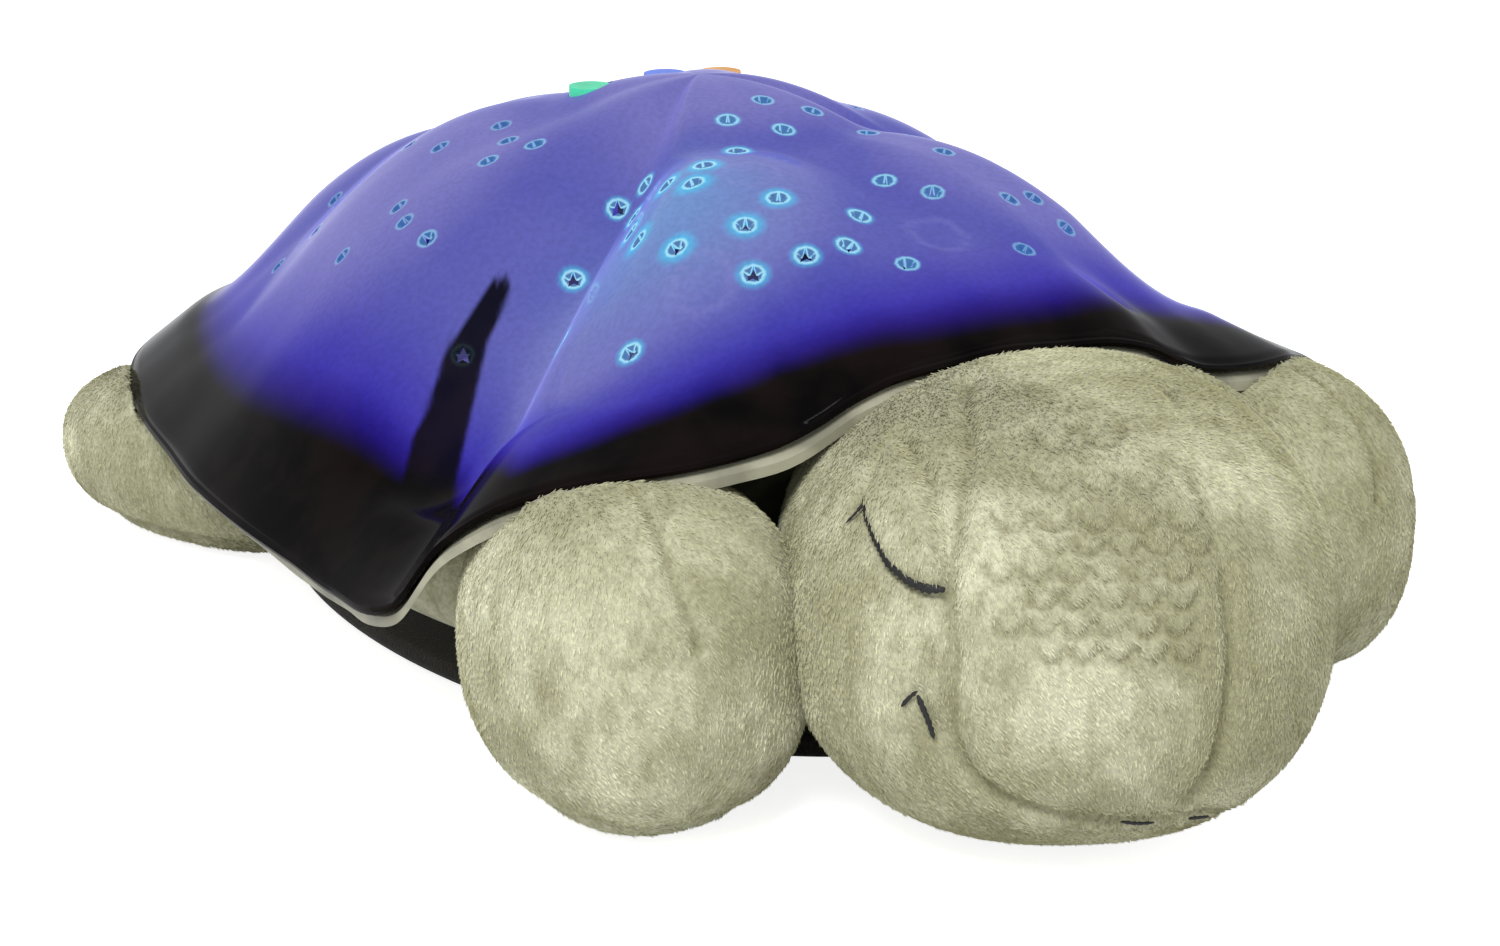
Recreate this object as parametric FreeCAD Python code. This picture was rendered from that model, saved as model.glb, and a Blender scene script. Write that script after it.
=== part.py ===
import FreeCAD, Part
import math
import os

os.makedirs("parts", exist_ok=True)
V = FreeCAD.Vector

# All sizes are in millimetres. The floor is z = 0 and the turtle faces -Y.
# The model is built about the shell and moved by this much at the end, so that
# the middle of the whole toy's length comes to y = 0.
origin_from_shell = 30.5

# Shell outline and rim height, right half, from the neck round to the tail.
# Each row is x, y and the height of the rim there.
rim_rows = [
    (0, -86, 96.5), (14, -86, 95.5), (29, -87, 94.5), (40, -87, 91.5), (48, -86, 87.5),
    (58, -84, 83.5), (75, -80, 80.5), (92, -72, 78), (104, -63, 74),
    (114, -57, 69.5), (123, -51, 61.5), (131, -44, 47.5), (132, -15, 42.5),
    (132, 10, 42), (133, 40, 42), (132, 70, 42), (127, 104, 41.5),
    (121, 140, 41), (113, 170, 40.5), (100, 198, 40.5), (82, 218, 40.5),
    (60, 228, 40.5), (30, 235, 41.5), (0, 238, 42.5),
]
shell_middle_y = 50.0

# The flared brim: its width and its rise at angles measured from the neck.
brim_angles = [0, 25, 38, 50, 62, 80, 110, 140, 180]
brim_widths = [9, 13, 22, 32, 21, 13, 12, 19, 20]
brim_rises = [7, 8, 9, 11, 13, 14, 14, 15, 14]

# The dome above the brim and its puffed scutes.
crown_height = 128.4
dome_angles = [0, 30, 50, 75, 110, 145, 180]
dome_fullness = [2.0, 2.4, 1.7, 2.15, 2.05, 2.65, 1.9]
dome_flare = [0.95, 1.3, 2.15, 1.05, 1.05, 1.45, 1.25]
scute_puff_power = 1.3
scute_fade = 0.25
# Each row is x, y, half width, half length and puff of one scute.
scutes = [
    (0, 44, 47, 45, 6.2), (50, -22, 50, 42, 7.5), (74, 80, 50, 50, 7.0),
    (44, 162, 42, 42, 6.2), (0, 125, 36, 36, 5.0),
]
shell_wall = 2.4
shell_gap = 0.1
surface_step = 7.0
outside_share = 1.12

# The pale tray that closes the shell from below.
tray_wall = 2.4
tray_gap = 1.2
tray_lip_front = 0.7
tray_lip_side = -2.2
tray_lip_from, tray_lip_to = 46.0, 56.0
tray_floor_height = 46.0
tray_floor_reach = 0.68
fabric_gap = 0.3

# Star-shaped light holes.
star_outer = 2.7
star_inner = 1.25
star_points = 5
star_depth = 6.0
# Star positions on the two sides, x and y.
star_spots_left = [
    (-44, 74), (-48, 62), (-46, 51), (-57, 55), (-57, 83), (-55, 106),
    (-66, 131), (-78, 116), (-83, 131), (-76, 67), (-79, 57), (-89, 73),
    (-79, 44), (-84, 15), (-31, 22), (-37, 25), (-38, 15), (-17, 2),
    (-46, 2), (-38, -1), (-30, -5), (-54, 16), (-51, -11), (-37, -12),
    (-67, -3), (-25, -30), (-8, -38), (-51, -29), (-36, -34), (-18, -49),
    (-8, -58), (-29, -49), (-41, -46), (-69, -40), (-11, 17), (0, 9),
]
star_spots_right = [
    (7, -25), (14, -35), (29, -17), (44, -20), (58, -20), (63, -32),
    (33, -39), (42, -36), (46, -44), (24, -58), (21, 4), (31, -1), (3, 24),
    (13, 17), (44, 74), (48, 62), (57, 83), (55, 106), (66, 131), (78, 116),
    (83, 131), (76, 67), (89, 73), (79, 44), (84, 15), (46, 50), (69, -8),
]

# Four round buttons behind the crown. Each row is a name, x and y.
buttons = [
    ("button_green", -19, 73), ("button_blue", 0, 68),
    ("button_amber", 19, 73), ("button_power", 0, 95),
]
button_radius = 5.5
button_hole_gap = 0.35
button_flange = 1.6
button_flange_thick = 1.2
button_stand = 0.6
button_travel = 1.2
stem_radius = 1.7
stem_gap = 0.05

# Board under the buttons, with one switch for each.
board_thick = 1.6
board_half_x = 30.0
board_half_y = 27.0
board_middle_y = 80.0
board_base = 104.0
board_boss_radius = 3.0
board_boss_inset = 5.0
switch_side = 6.0
switch_height = 3.6
switch_floor = 0.9
stem_rest = 0.1

# Lamp in the middle of the shell.
lamp_y = 72.0
pedestal_base_radius = 26.0
pedestal_top_radius = 20.0
pedestal_height = 24.0
pedestal_wall = 2.0
lamp_board_radius = 20.0
lamp_radius = 2.5
lamp_body = 5.0
lamp_ring = 12.0
lamp_names = ["lamp_blue", "lamp_green", "lamp_amber"]
chip_side = 8.0
chip_height = 1.4
reflector_radius = 60.0
reflector_thick = 1.2
wire_radius = 0.7
wire_spread = 3.0
wire_hole = 5.0
ribbon_width = 6.0
ribbon_thick = 0.8
ribbon_from_lamp = 16.5

# Four posts tie the dome to the tray.
post_spots = [(-72, 14), (72, 14), (-55, 118), (55, 118)]
post_radii = [6.0, 4.0, 2.8]
post_steps = [16.0, 34.0]
screw_radius = 1.5
screw_gap = 0.05
screw_depth = 12.0
screw_head_radius = 3.2
screw_head_height = 1.8

# Battery box under the tray, its three cells and its door.
battery_middle_y = 60.0
box_half_x = 21.0
box_half_y = 31.0
box_wall = 2.0
box_base = 14.0
box_top = 31.0
cell_radius = 5.25
cell_length = 44.5
cell_pitch = 12.0
cell_count = 3
nub_radius = 1.9
nub_length = 1.0
contact_thick = 0.5
contact_half = 4.0
battery_spring_radius = 3.2
battery_spring_tip = 2.2
battery_spring_length = 4.0
door_thick = 1.9
door_gap = 0.1
door_lip_height = 1.6
door_screw_radius = 1.2
door_screw_gap = 0.08
door_screw_length = 9.0
door_screw_head = 2.4
door_screw_head_height = 1.4
door_boss_radius = 2.6

# Belly: the dark panel, the window in it and the hinged cloth flap.
belly_half_x = 96.0
belly_half_y = 146.0
belly_height = 6.0
belly_middle_y = 65.0
window_half_x = 26.0
window_half_y = 36.0
window_height = 11.0
flap_side_gap = 0.8
flap_hinge_gap = 0.3
flap_end_gap = 0.9
flap_lift = 0.4
flap_thick = 7.6
flap_hem_radius = 1.2
box_fabric_gap = 0.4

# Sewn ring that holds the tray to the plush.
ring_half_x = 66.0
ring_half_y = 60.0
ring_width = 8.0
ring_thick = 1.5

# Stuffed pieces: middle, half sizes, turn in degrees, bottom and top.
body_form = (0.0, 68.0, 108.0, 152.0, 0.0, 5.5, 56.0)
head_form = (-2.6, -108.3, 59.6, 68.7, -28.7, -0.5, 96.8)
front_leg_form = (84.8, -69.5, 34.5, 41.0, -4.0, -0.5, 77.5)
rear_leg_form = (92.0, 149.0, 33.5, 51.5, -25.0, -0.5, 47.0)
tail_form = (0.0, 212.0, 15.0, 25.0, 0.0, 12.0, 33.0)
form_levels = 9
form_power = 2.3
form_end = 0.32
corner_fullness = 0.74
lift_height = 150.0


def save(name, shape):
    # Moves a finished node to the part's origin and writes it.
    moved = shape.copy()
    moved.translate(V(0, -origin_from_shell, 0))
    solids = moved.Solids
    out = solids[0] if len(solids) == 1 else Part.makeCompound(solids)
    box = out.optimalBoundingBox(True, False)
    print(name, len(solids), "solid(s)", "valid" if out.isValid() else "NOT VALID",
          "x %.1f..%.1f y %.1f..%.1f z %.1f..%.1f" % (
              box.XMin, box.XMax, box.YMin, box.YMax, box.ZMin, box.ZMax))
    out.exportStep("parts/" + name + ".step")


def box_between(x0, x1, y0, y1, z0, z1):
    return Part.makeBox(x1 - x0, y1 - y0, z1 - z0, V(x0, y0, z0))


def rod(x, y, z0, z1, radius):
    return Part.makeCylinder(radius, z1 - z0, V(x, y, z0))


def curve_value(angle, angles, values):
    # A smooth curve through the rows of a table, level at both its ends.
    last = len(angles) - 1
    i = 0
    while i < last - 1 and angle > angles[i + 1]:
        i += 1

    def slope(k):
        if k == 0 or k == last:
            return 0.0
        return (values[k + 1] - values[k - 1]) / (angles[k + 1] - angles[k - 1])

    span = angles[i + 1] - angles[i]
    t = (angle - angles[i]) / span
    return ((2 * t**3 - 3 * t**2 + 1) * values[i] + (t**3 - 2 * t**2 + t) * span * slope(i)
            + (3 * t**2 - 2 * t**3) * values[i + 1] + (t**3 - t**2) * span * slope(i + 1))


def angle_from_neck(x, y):
    return math.degrees(math.atan2(abs(x), shell_middle_y - y))


rim_angles = [angle_from_neck(x, y) for x, y, z in rim_rows]
rim_radii = [math.hypot(x, y - shell_middle_y) for x, y, z in rim_rows]
rim_heights = [z for x, y, z in rim_rows]


def brim_at(x, y):
    # Share of the way to the rim, share at the crease, rim height, brim rise.
    angle = angle_from_neck(x, y)
    reach = curve_value(angle, rim_angles, rim_radii)
    width = curve_value(angle, brim_angles, brim_widths)
    share = min(outside_share, math.hypot(x, y - shell_middle_y) / reach)
    return (share, 1 - width / reach, curve_value(angle, rim_angles, rim_heights),
            curve_value(angle, brim_angles, brim_rises))


def shell_height(x, y):
    share, crease, rim, rise = brim_at(x, y)
    if share >= crease:
        return rim + rise * (1 - share) / (1 - crease)
    inward = share / crease
    angle = angle_from_neck(x, y)
    full = curve_value(angle, dome_angles, dome_fullness)
    flare = curve_value(angle, dome_angles, dome_flare)
    height = rim + rise + (crown_height - rim - rise) * (1 - inward**full) ** flare
    for sx, sy, half_x, half_y, puff in scutes:
        for side in ((1, -1) if sx else (1,)):
            away = ((x - side * sx) / half_x) ** 2 + ((y - sy) / half_y) ** 2
            if away < 1:
                fade = min(1.0, (1 - inward) / scute_fade)
                height += puff * (1 - away) ** scute_puff_power * fade
    return height


def tray_height(x, y):
    # Follows the brim at the edge and falls to a level floor in the middle.
    share, crease, rim, rise = brim_at(x, y)
    if share >= crease:
        return rim + rise * (1 - share) / (1 - crease) - shell_wall - tray_gap
    inward = share / crease
    t = max(0.0, (inward - tray_floor_reach) / (1 - tray_floor_reach))
    blend = t * t * (3 - 2 * t)
    edge = rim + rise - shell_wall - tray_gap
    return tray_floor_height + (edge - tray_floor_height) * blend


def height_face(height_at):
    # One smooth face over the whole shell through a square grid of heights.
    x_reach = 138.0
    y_low, y_high = -94.0, 248.0
    x_count = int(round(2 * x_reach / surface_step)) + 1
    y_count = int(round((y_high - y_low) / surface_step)) + 1
    grid = []
    for i in range(x_count):
        x = -x_reach + 2 * x_reach * i / (x_count - 1)
        row = []
        for j in range(y_count):
            y = y_low + (y_high - y_low) * j / (y_count - 1)
            row.append(V(x, y, height_at(x, y)))
        grid.append(row)
    surface = Part.BSplineSurface()
    surface.interpolate(grid)
    return surface.toShape()


def tray_lip(angle):
    # The tray stands out a little at the front and is set back at the sides.
    t = min(1.0, max(0.0, (angle - tray_lip_from) / (tray_lip_to - tray_lip_from)))
    return tray_lip_front + (tray_lip_side - tray_lip_front) * t * t * (3 - 2 * t)


def outline_prism(grow, lip=False):
    # The shell's plan outline as an upright block, made larger by grow.
    points = []
    steps = 60
    for side in (1, -1):
        for k in range(steps):
            part = k if side == 1 else steps - k
            angle = 180.0 * part / steps
            reach = curve_value(angle, rim_angles, rim_radii) + grow
            if lip:
                reach += tray_lip(angle)
            turn = math.radians(angle)
            points.append(V(side * reach * math.sin(turn),
                            shell_middle_y - reach * math.cos(turn), 0))
    curve = Part.BSplineCurve()
    curve.interpolate(Points=points, PeriodicFlag=True)
    face = Part.Face(Part.Wire(curve.toShape()))
    return face.extrude(V(0, 0, lift_height + 10))


def moved_up(face, dz):
    out = face.copy()
    out.translate(V(0, 0, dz))
    return out


shell_top = height_face(shell_height)
tray_top = height_face(tray_height)
outline = outline_prism(0.0)
roof = moved_up(shell_top, -shell_wall - shell_gap).extrude(V(0, 0, lift_height))


def under_dome(shape):
    # Keeps what lies below the dome's underside.
    return shape.cut(roof)


def star_prism(x, y):
    # A five-pointed prism square to the shell at x, y.
    d = 1.0
    slope_x = (shell_height(x + d, y) - shell_height(x - d, y)) / (2 * d)
    slope_y = (shell_height(x, y + d) - shell_height(x, y - d)) / (2 * d)
    normal = V(-slope_x, -slope_y, 1)
    normal.normalize()
    points = []
    for k in range(2 * star_points):
        radius = star_outer if k % 2 == 0 else star_inner
        turn = math.pi * k / star_points
        points.append(V(radius * math.sin(turn), radius * math.cos(turn), -star_depth))
    points.append(points[0])
    face = Part.Face(Part.makePolygon(points))
    prism = face.extrude(V(0, 0, 2 * star_depth))
    prism.Placement = FreeCAD.Placement(
        V(x, y, shell_height(x, y)), FreeCAD.Rotation(V(0, 0, 1), normal))
    return prism


def stuffed(form, side=1):
    # A stuffed form that swells and tapers: a loft through level rings of arcs.
    x, y, half_x, half_y, turn, bottom, top = form
    rings = []
    for k in range(form_levels):
        t = (1 - math.cos(math.pi * k / (form_levels - 1))) / 2
        height = bottom + (top - bottom) * t
        swell = max(form_end, (1 - abs(2 * t - 1) ** form_power) ** (1 / form_power))
        a, b = half_x * swell, half_y * swell
        c = corner_fullness
        corners = [(a, 0), (c * a, c * b), (0, b), (-c * a, c * b), (-a, 0),
                   (-c * a, -c * b), (0, -b), (c * a, -c * b), (a, 0)]
        spots = [V(px, py, height) for px, py in corners]
        arcs = [Part.Arc(spots[i], spots[i + 1], spots[i + 2]).toShape()
                for i in (0, 2, 4, 6)]
        rings.append(Part.Wire(arcs))
    shape = Part.makeLoft(rings, True, False)
    shape.rotate(V(0, 0, 0), V(0, 0, 1), side * turn)
    shape.translate(V(side * x, y, 0))
    return shape.cut(box_between(-300, 300, -300, 300, -20, 0))


def trimmed(form, side, pieces):
    # A stuffed form under the shell, cut by larger pieces: its main lump only.
    shape = stuffed(form, side).cut(shell_clear)
    for piece in pieces:
        shape = shape.cut(piece)
    return max(shape.Solids, key=lambda solid: solid.Volume)


# The clear dome with its star holes and button holes
dome = moved_up(shell_top, 0).extrude(V(0, 0, -shell_wall)).common(outline)
holes = [star_prism(x, y) for x, y in star_spots_left + star_spots_right]
for name, x, y in buttons:
    holes.append(rod(x, y, crown_height - 20, crown_height + 20,
                     button_radius + button_hole_gap))
dome = dome.cut(holes)
save("shell_dome", dome)

# The pale tray
screw_holes = [rod(x, y, 0, tray_floor_height + 1, screw_radius + screw_gap)
               for x, y in post_spots]
tray = tray_top.extrude(V(0, 0, -tray_wall)).common(outline_prism(0.0, lip=True))
tray = tray.cut(screw_holes + [rod(0, lamp_y, 0, lift_height, wire_hole)])
save("shell_tray", tray)

# Stepped posts between tray and dome, and the screws that come up into them
posts = []
for x, y in post_spots:
    base = tray_floor_height + shell_gap
    post = rod(x, y, base, base + post_steps[0], post_radii[0])
    post = post.fuse(rod(x, y, base, base + post_steps[1], post_radii[1]))
    post = post.fuse(rod(x, y, base, lift_height, post_radii[2]))
    post = post.cut(rod(x, y, base - 1, base + screw_depth + 1, screw_radius + screw_gap))
    posts.append(under_dome(post).removeSplitter())
save("shell_posts", Part.makeCompound(posts))
tray_under = tray_floor_height - tray_wall
screws = []
for x, y in post_spots:
    shank = rod(x, y, tray_under, tray_floor_height + screw_depth, screw_radius)
    head = rod(x, y, tray_under - screw_head_height, tray_under, screw_head_radius)
    screws.append(shank.fuse(head).removeSplitter())
save("shell_screws", Part.makeCompound(screws))

# White reflector on the tray's floor and the lamp on its pedestal
floor = tray_floor_height + shell_gap
reflector = rod(0, lamp_y, floor, floor + reflector_thick, reflector_radius).cut(
    rod(0, lamp_y, floor - 1, floor + 5, pedestal_base_radius + fabric_gap))
save("light_reflector", reflector)
lamp_base = floor + pedestal_height
pedestal = Part.makeCone(pedestal_base_radius, pedestal_top_radius, pedestal_height,
                         V(0, lamp_y, floor))
hollow = Part.makeCone(pedestal_base_radius - pedestal_wall,
                       pedestal_top_radius - pedestal_wall,
                       pedestal_height, V(0, lamp_y, floor))
save("lamp_pedestal", pedestal.cut(hollow))
lamp_top = lamp_base + board_thick
save("lamp_board", rod(0, lamp_y, lamp_base, lamp_top, lamp_board_radius))
save("control_chip", box_between(-chip_side / 2, chip_side / 2, lamp_y - chip_side / 2,
                                 lamp_y + chip_side / 2, lamp_top, lamp_top + chip_height))
for index, name in enumerate(lamp_names):
    pair = []
    for half in (0, 1):
        turn = math.pi * half + math.pi * index / len(lamp_names) + math.pi / 6
        x = lamp_ring * math.cos(turn)
        y = lamp_y + lamp_ring * math.sin(turn)
        bulb = rod(x, y, lamp_top, lamp_top + lamp_body, lamp_radius)
        cap = Part.makeSphere(lamp_radius, V(x, y, lamp_top + lamp_body))
        pair.append(bulb.fuse(cap).removeSplitter())
    save(name, Part.makeCompound(pair))

# Board, bosses, switches and ribbon under the buttons
board_top = board_base + board_thick
board = box_between(-board_half_x, board_half_x, board_middle_y - board_half_y,
                    board_middle_y + board_half_y, board_base, board_top)
save("button_board", board)
bosses = []
for sx in (1, -1):
    for sy in (1, -1):
        x = sx * (board_half_x - board_boss_inset)
        y = board_middle_y + sy * (board_half_y - board_boss_inset)
        bosses.append(under_dome(rod(x, y, board_top, lift_height, board_boss_radius)))
save("board_bosses", Part.makeCompound(bosses))
ribbon_y = lamp_y + ribbon_from_lamp
save("button_ribbon", box_between(-ribbon_width / 2, ribbon_width / 2,
                                  ribbon_y, ribbon_y + ribbon_thick, lamp_top, board_base))
switches = []
for name, x, y in buttons:
    half = switch_side / 2
    block = box_between(x - half, x + half, y - half, y + half,
                        board_top, board_top + switch_height)
    bore = rod(x, y, board_top + switch_floor, board_top + switch_height + 1,
               stem_radius + stem_gap)
    switches.append(block.cut(bore))
save("button_switches", Part.makeCompound(switches))

# The buttons: a cap in the dome's hole, a flange under the dome and a stem
for name, x, y in buttons:
    ring = button_radius + button_flange
    under = min(shell_height(x + ring * math.cos(k * math.pi / 8),
                             y + ring * math.sin(k * math.pi / 8)) for k in range(16))
    flange_top = under - shell_wall - fabric_gap
    cap_top = shell_height(x, y) + button_stand
    stem_low = board_top + switch_floor + button_travel + stem_rest
    button = rod(x, y, flange_top, cap_top, button_radius)
    button = button.fuse(rod(x, y, flange_top - button_flange_thick, flange_top, ring))
    button = button.fuse(rod(x, y, stem_low, flange_top, stem_radius))
    save(name, button.removeSplitter())

# Battery box, riser, cells, springs and contacts
mid = battery_middle_y
outer = box_between(-box_half_x, box_half_x, mid - box_half_y, mid + box_half_y,
                    box_base, box_top)
inner_x, inner_y = box_half_x - box_wall, box_half_y - box_wall
inner = box_between(-inner_x, inner_x, mid - inner_y, mid + inner_y,
                    box_base - 1, box_top - box_wall)
cells_low = mid - inner_y + contact_thick + battery_spring_length
cells_high = cells_low + cell_length + nub_length
partition = box_between(-inner_x, inner_x, cells_high + contact_thick,
                        cells_high + contact_thick + box_wall,
                        box_base + door_lip_height + 1, box_top - box_wall)
boss_y = (cells_high + contact_thick + box_wall + mid + inner_y) / 2
boss = rod(0, boss_y, box_base + door_lip_height + door_gap, box_top - box_wall,
           door_boss_radius)
battery_box = outer.cut(inner).fuse(partition).fuse(boss)
battery_box = battery_box.cut(rod(0, boss_y, 0, box_top - box_wall,
                                  door_screw_radius + door_screw_gap))
battery_box = battery_box.cut(rod(0, lamp_y, box_top - box_wall - 1, box_top + 1, wire_hole))
save("battery_box", battery_box.removeSplitter())
riser = box_between(-box_half_x, box_half_x, mid - box_half_y, mid + box_half_y,
                    box_top, tray_under)
riser = riser.cut(box_between(-inner_x, inner_x, mid - inner_y, mid + inner_y,
                              box_top - 1, tray_under + 1))
save("battery_riser", riser)
cell_z = box_top - box_wall - cell_radius - fabric_gap
cells, springs, contacts = [], [], []
for k in range(cell_count):
    x = (k - (cell_count - 1) / 2) * cell_pitch
    along = V(0, 1, 0)
    can = Part.makeCylinder(cell_radius, cell_length, V(x, cells_low, cell_z), along)
    nub = Part.makeCylinder(nub_radius, nub_length,
                            V(x, cells_low + cell_length, cell_z), along)
    cells.append(can.fuse(nub))
    springs.append(Part.makeCone(battery_spring_radius, battery_spring_tip,
                                 battery_spring_length,
                                 V(x, mid - inner_y + contact_thick, cell_z), along))
    for y in (mid - inner_y, cells_high):
        contacts.append(box_between(x - contact_half, x + contact_half, y,
                                    y + contact_thick, cell_z - contact_half,
                                    cell_z + contact_half))
save("battery_cells", Part.makeCompound(cells))
save("battery_springs", Part.makeCompound(springs))
save("battery_contacts", Part.makeCompound(contacts))
wires = [rod(sx * wire_spread, lamp_y, box_top, lamp_base, wire_radius) for sx in (1, -1)]
save("lamp_wires", Part.makeCompound(wires))

# Battery door and its screw
door_top = box_base - door_gap
door = box_between(-box_half_x, box_half_x, mid - box_half_y, mid + box_half_y,
                   door_top - door_thick, door_top)
lip_x, lip_y = inner_x - door_gap, inner_y - door_gap
lip = box_between(-lip_x, lip_x, mid - lip_y, mid + lip_y,
                  door_top, door_top + door_lip_height)
lip = lip.cut(box_between(-lip_x + box_wall, lip_x - box_wall, mid - lip_y + box_wall,
                          cells_high, door_top - 1, door_top + door_lip_height + 1))
door = door.fuse(lip).cut(rod(0, boss_y, 0, box_top, door_screw_radius + door_screw_gap))
save("battery_door", door.removeSplitter())
door_under = door_top - door_thick
door_screw = rod(0, boss_y, door_under, door_under + door_screw_length, door_screw_radius)
door_screw = door_screw.fuse(rod(0, boss_y, door_under - door_screw_head_height, door_under,
                                 door_screw_head))
save("battery_door_screw", door_screw.removeSplitter())

# Sewn ring under the tray
ring_low = tray_under - ring_thick


def ring_block(grow):
    outer_x, outer_y = ring_half_x + grow, ring_half_y + grow
    inner_ring_x = ring_half_x - ring_width - grow
    inner_ring_y = ring_half_y - ring_width - grow
    block = box_between(-outer_x, outer_x, lamp_y - outer_y, lamp_y + outer_y,
                        ring_low - grow, tray_under)
    return block.cut(box_between(-inner_ring_x, inner_ring_x, lamp_y - inner_ring_y,
                                 lamp_y + inner_ring_y, 0, lift_height))


save("sewing_ring", ring_block(0.0).cut(
    [rod(x, y, 0, lift_height, screw_head_radius + fabric_gap) for x, y in post_spots]))

# Belly panel, flap and the stuffed pieces
window = box_between(-window_half_x, window_half_x, mid - window_half_y,
                     mid + window_half_y, -1, window_height)
box_space = box_between(-box_half_x - box_fabric_gap, box_half_x + box_fabric_gap,
                        mid - box_half_y - box_fabric_gap,
                        mid + box_half_y + box_fabric_gap, -1, lift_height)
belly = Part.Face(Part.Wire(Part.Ellipse(V(0, 0, 0), belly_half_y, belly_half_x).toShape()))
belly = belly.extrude(V(0, 0, belly_height))
belly.rotate(V(0, 0, 0), V(0, 0, 1), 90)
belly.translate(V(0, belly_middle_y, 0))
belly = belly.cut(window)
flap = box_between(-window_half_x + flap_side_gap, window_half_x - flap_side_gap,
                   mid - window_half_y + flap_end_gap, mid + window_half_y - flap_hinge_gap,
                   flap_lift, flap_lift + flap_thick)
hem_y = mid + window_half_y - flap_hinge_gap - flap_hem_radius
hem_z = flap_lift + flap_hem_radius
hem_space = box_between(-lift_height, lift_height, hem_y, hem_y + flap_side_gap + 1,
                        0, hem_z)
hem = Part.makeCylinder(flap_hem_radius, 2 * (window_half_x - flap_side_gap),
                        V(-window_half_x + flap_side_gap, hem_y, hem_z), V(1, 0, 0))
flap = flap.cut(hem_space).fuse(hem).removeSplitter()
save("belly_flap", flap)

shell_clear = moved_up(tray_top, -tray_wall - fabric_gap).extrude(V(0, 0, lift_height))
shell_clear = shell_clear.common(outline_prism(tray_lip_front + fabric_gap))
screw_space = [rod(x, y, ring_low - 3, lift_height, screw_head_radius + fabric_gap)
               for x, y in post_spots]
body = stuffed(body_form).cut(shell_clear).cut(window).cut(box_space)
body = body.cut(ring_block(fabric_gap)).cut(screw_space).cut(belly)
save("belly_panel", belly)
save("plush_body", body)
head = trimmed(head_form, 1, [body, belly])
save("plush_head", head)
for word, side in (("left", 1), ("right", -1)):
    save("front_leg_" + word, trimmed(front_leg_form, side, [body, belly, head]))
    save("rear_leg_" + word, trimmed(rear_leg_form, side, [body, belly]))
save("plush_tail", trimmed(tail_form, 1, [body, belly]))
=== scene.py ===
# %% [markdown]
# # Star night light projector: a sleeping plush turtle under a lit shell
# The CAD part gives the sizes and everything that moves. This script adds what
# the eye sees: the glowing shell, the pile of the plush, its seams, its face and
# the light. The pieces are made in the order in which they would be looked at.

# %% Imports, the CAD part and a helper for a part's box
import bpy
import bmesh
import math
import numpy as np
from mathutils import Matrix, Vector
from mathutils.bvhtree import BVHTree


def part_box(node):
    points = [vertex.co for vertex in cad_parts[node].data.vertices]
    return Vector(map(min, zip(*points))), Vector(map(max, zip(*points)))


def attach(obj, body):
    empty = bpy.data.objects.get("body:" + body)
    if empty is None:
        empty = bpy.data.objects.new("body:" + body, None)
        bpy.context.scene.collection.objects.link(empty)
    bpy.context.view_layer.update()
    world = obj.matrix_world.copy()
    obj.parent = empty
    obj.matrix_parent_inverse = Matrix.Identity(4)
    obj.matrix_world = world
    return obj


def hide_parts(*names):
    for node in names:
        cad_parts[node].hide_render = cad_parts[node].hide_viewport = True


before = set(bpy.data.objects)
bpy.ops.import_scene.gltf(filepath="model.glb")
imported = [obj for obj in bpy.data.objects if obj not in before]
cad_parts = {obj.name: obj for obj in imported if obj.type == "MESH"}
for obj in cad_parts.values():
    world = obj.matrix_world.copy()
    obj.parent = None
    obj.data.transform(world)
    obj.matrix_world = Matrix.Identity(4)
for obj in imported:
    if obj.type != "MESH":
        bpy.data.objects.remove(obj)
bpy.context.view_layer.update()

MM = 0.001
SHIFT_Y = 30.5          # the part's origin lies this far behind the shell's own origin

# %% [markdown]
# ## The camera
# The camera's place and lens were fitted to the photograph by least squares. The
# two sides of the toy still disagree by about a centimetre, so middle values were
# used and pieces land near their pixels. It is a long lens about 0.8 m away.
# The same numbers turn a pixel of the photograph into a ray, which later places
# the lashes, the nostrils and the mouth on the head.

# %% Camera
IMAGE_W, IMAGE_H = 1500, 946
CAMERA_SPOT = Vector((-380.2, -652.4, 284.0)) * MM
CAMERA_TURN = math.radians(30.44)
CAMERA_DIP = math.radians(18.29)
FOCAL_PX = 3104.6
SENSOR_MM = 36.0

view_right = Vector((math.cos(CAMERA_TURN), -math.sin(CAMERA_TURN), 0))
view_forward = Vector((math.sin(CAMERA_TURN) * math.cos(CAMERA_DIP),
                       math.cos(CAMERA_TURN) * math.cos(CAMERA_DIP),
                       -math.sin(CAMERA_DIP)))
view_up = view_right.cross(view_forward)

camera_data = bpy.data.cameras.new("photo_camera")
camera_data.sensor_width = SENSOR_MM
camera_data.lens = SENSOR_MM * FOCAL_PX / IMAGE_W
camera = bpy.data.objects.new("photo_camera", camera_data)
bpy.context.collection.objects.link(camera)
camera.location = CAMERA_SPOT
camera.rotation_euler = view_forward.to_track_quat("-Z", "Y").to_euler()
bpy.context.scene.camera = camera
bpy.context.scene.view_settings.view_transform = "Standard"


def pixel_ray(u, v):
    direction = (view_forward * FOCAL_PX + view_right * (u - IMAGE_W / 2)
                 - view_up * (v - IMAGE_H / 2))
    return direction.normalized()


def to_pixel(points):
    # Where points in shell millimetres fall in the photograph.
    away = place(points) - np.array(CAMERA_SPOT)
    depth = away @ np.array(view_forward)
    return np.stack([IMAGE_W / 2 + FOCAL_PX * (away @ np.array(view_right)) / depth,
                     IMAGE_H / 2 - FOCAL_PX * (away @ np.array(view_up)) / depth], 1)


def place(points):
    # From the shell's own millimetres to the part's metres.
    out = np.asarray(points, float).copy()
    out[:, 1] -= SHIFT_Y
    return out * MM


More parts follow.
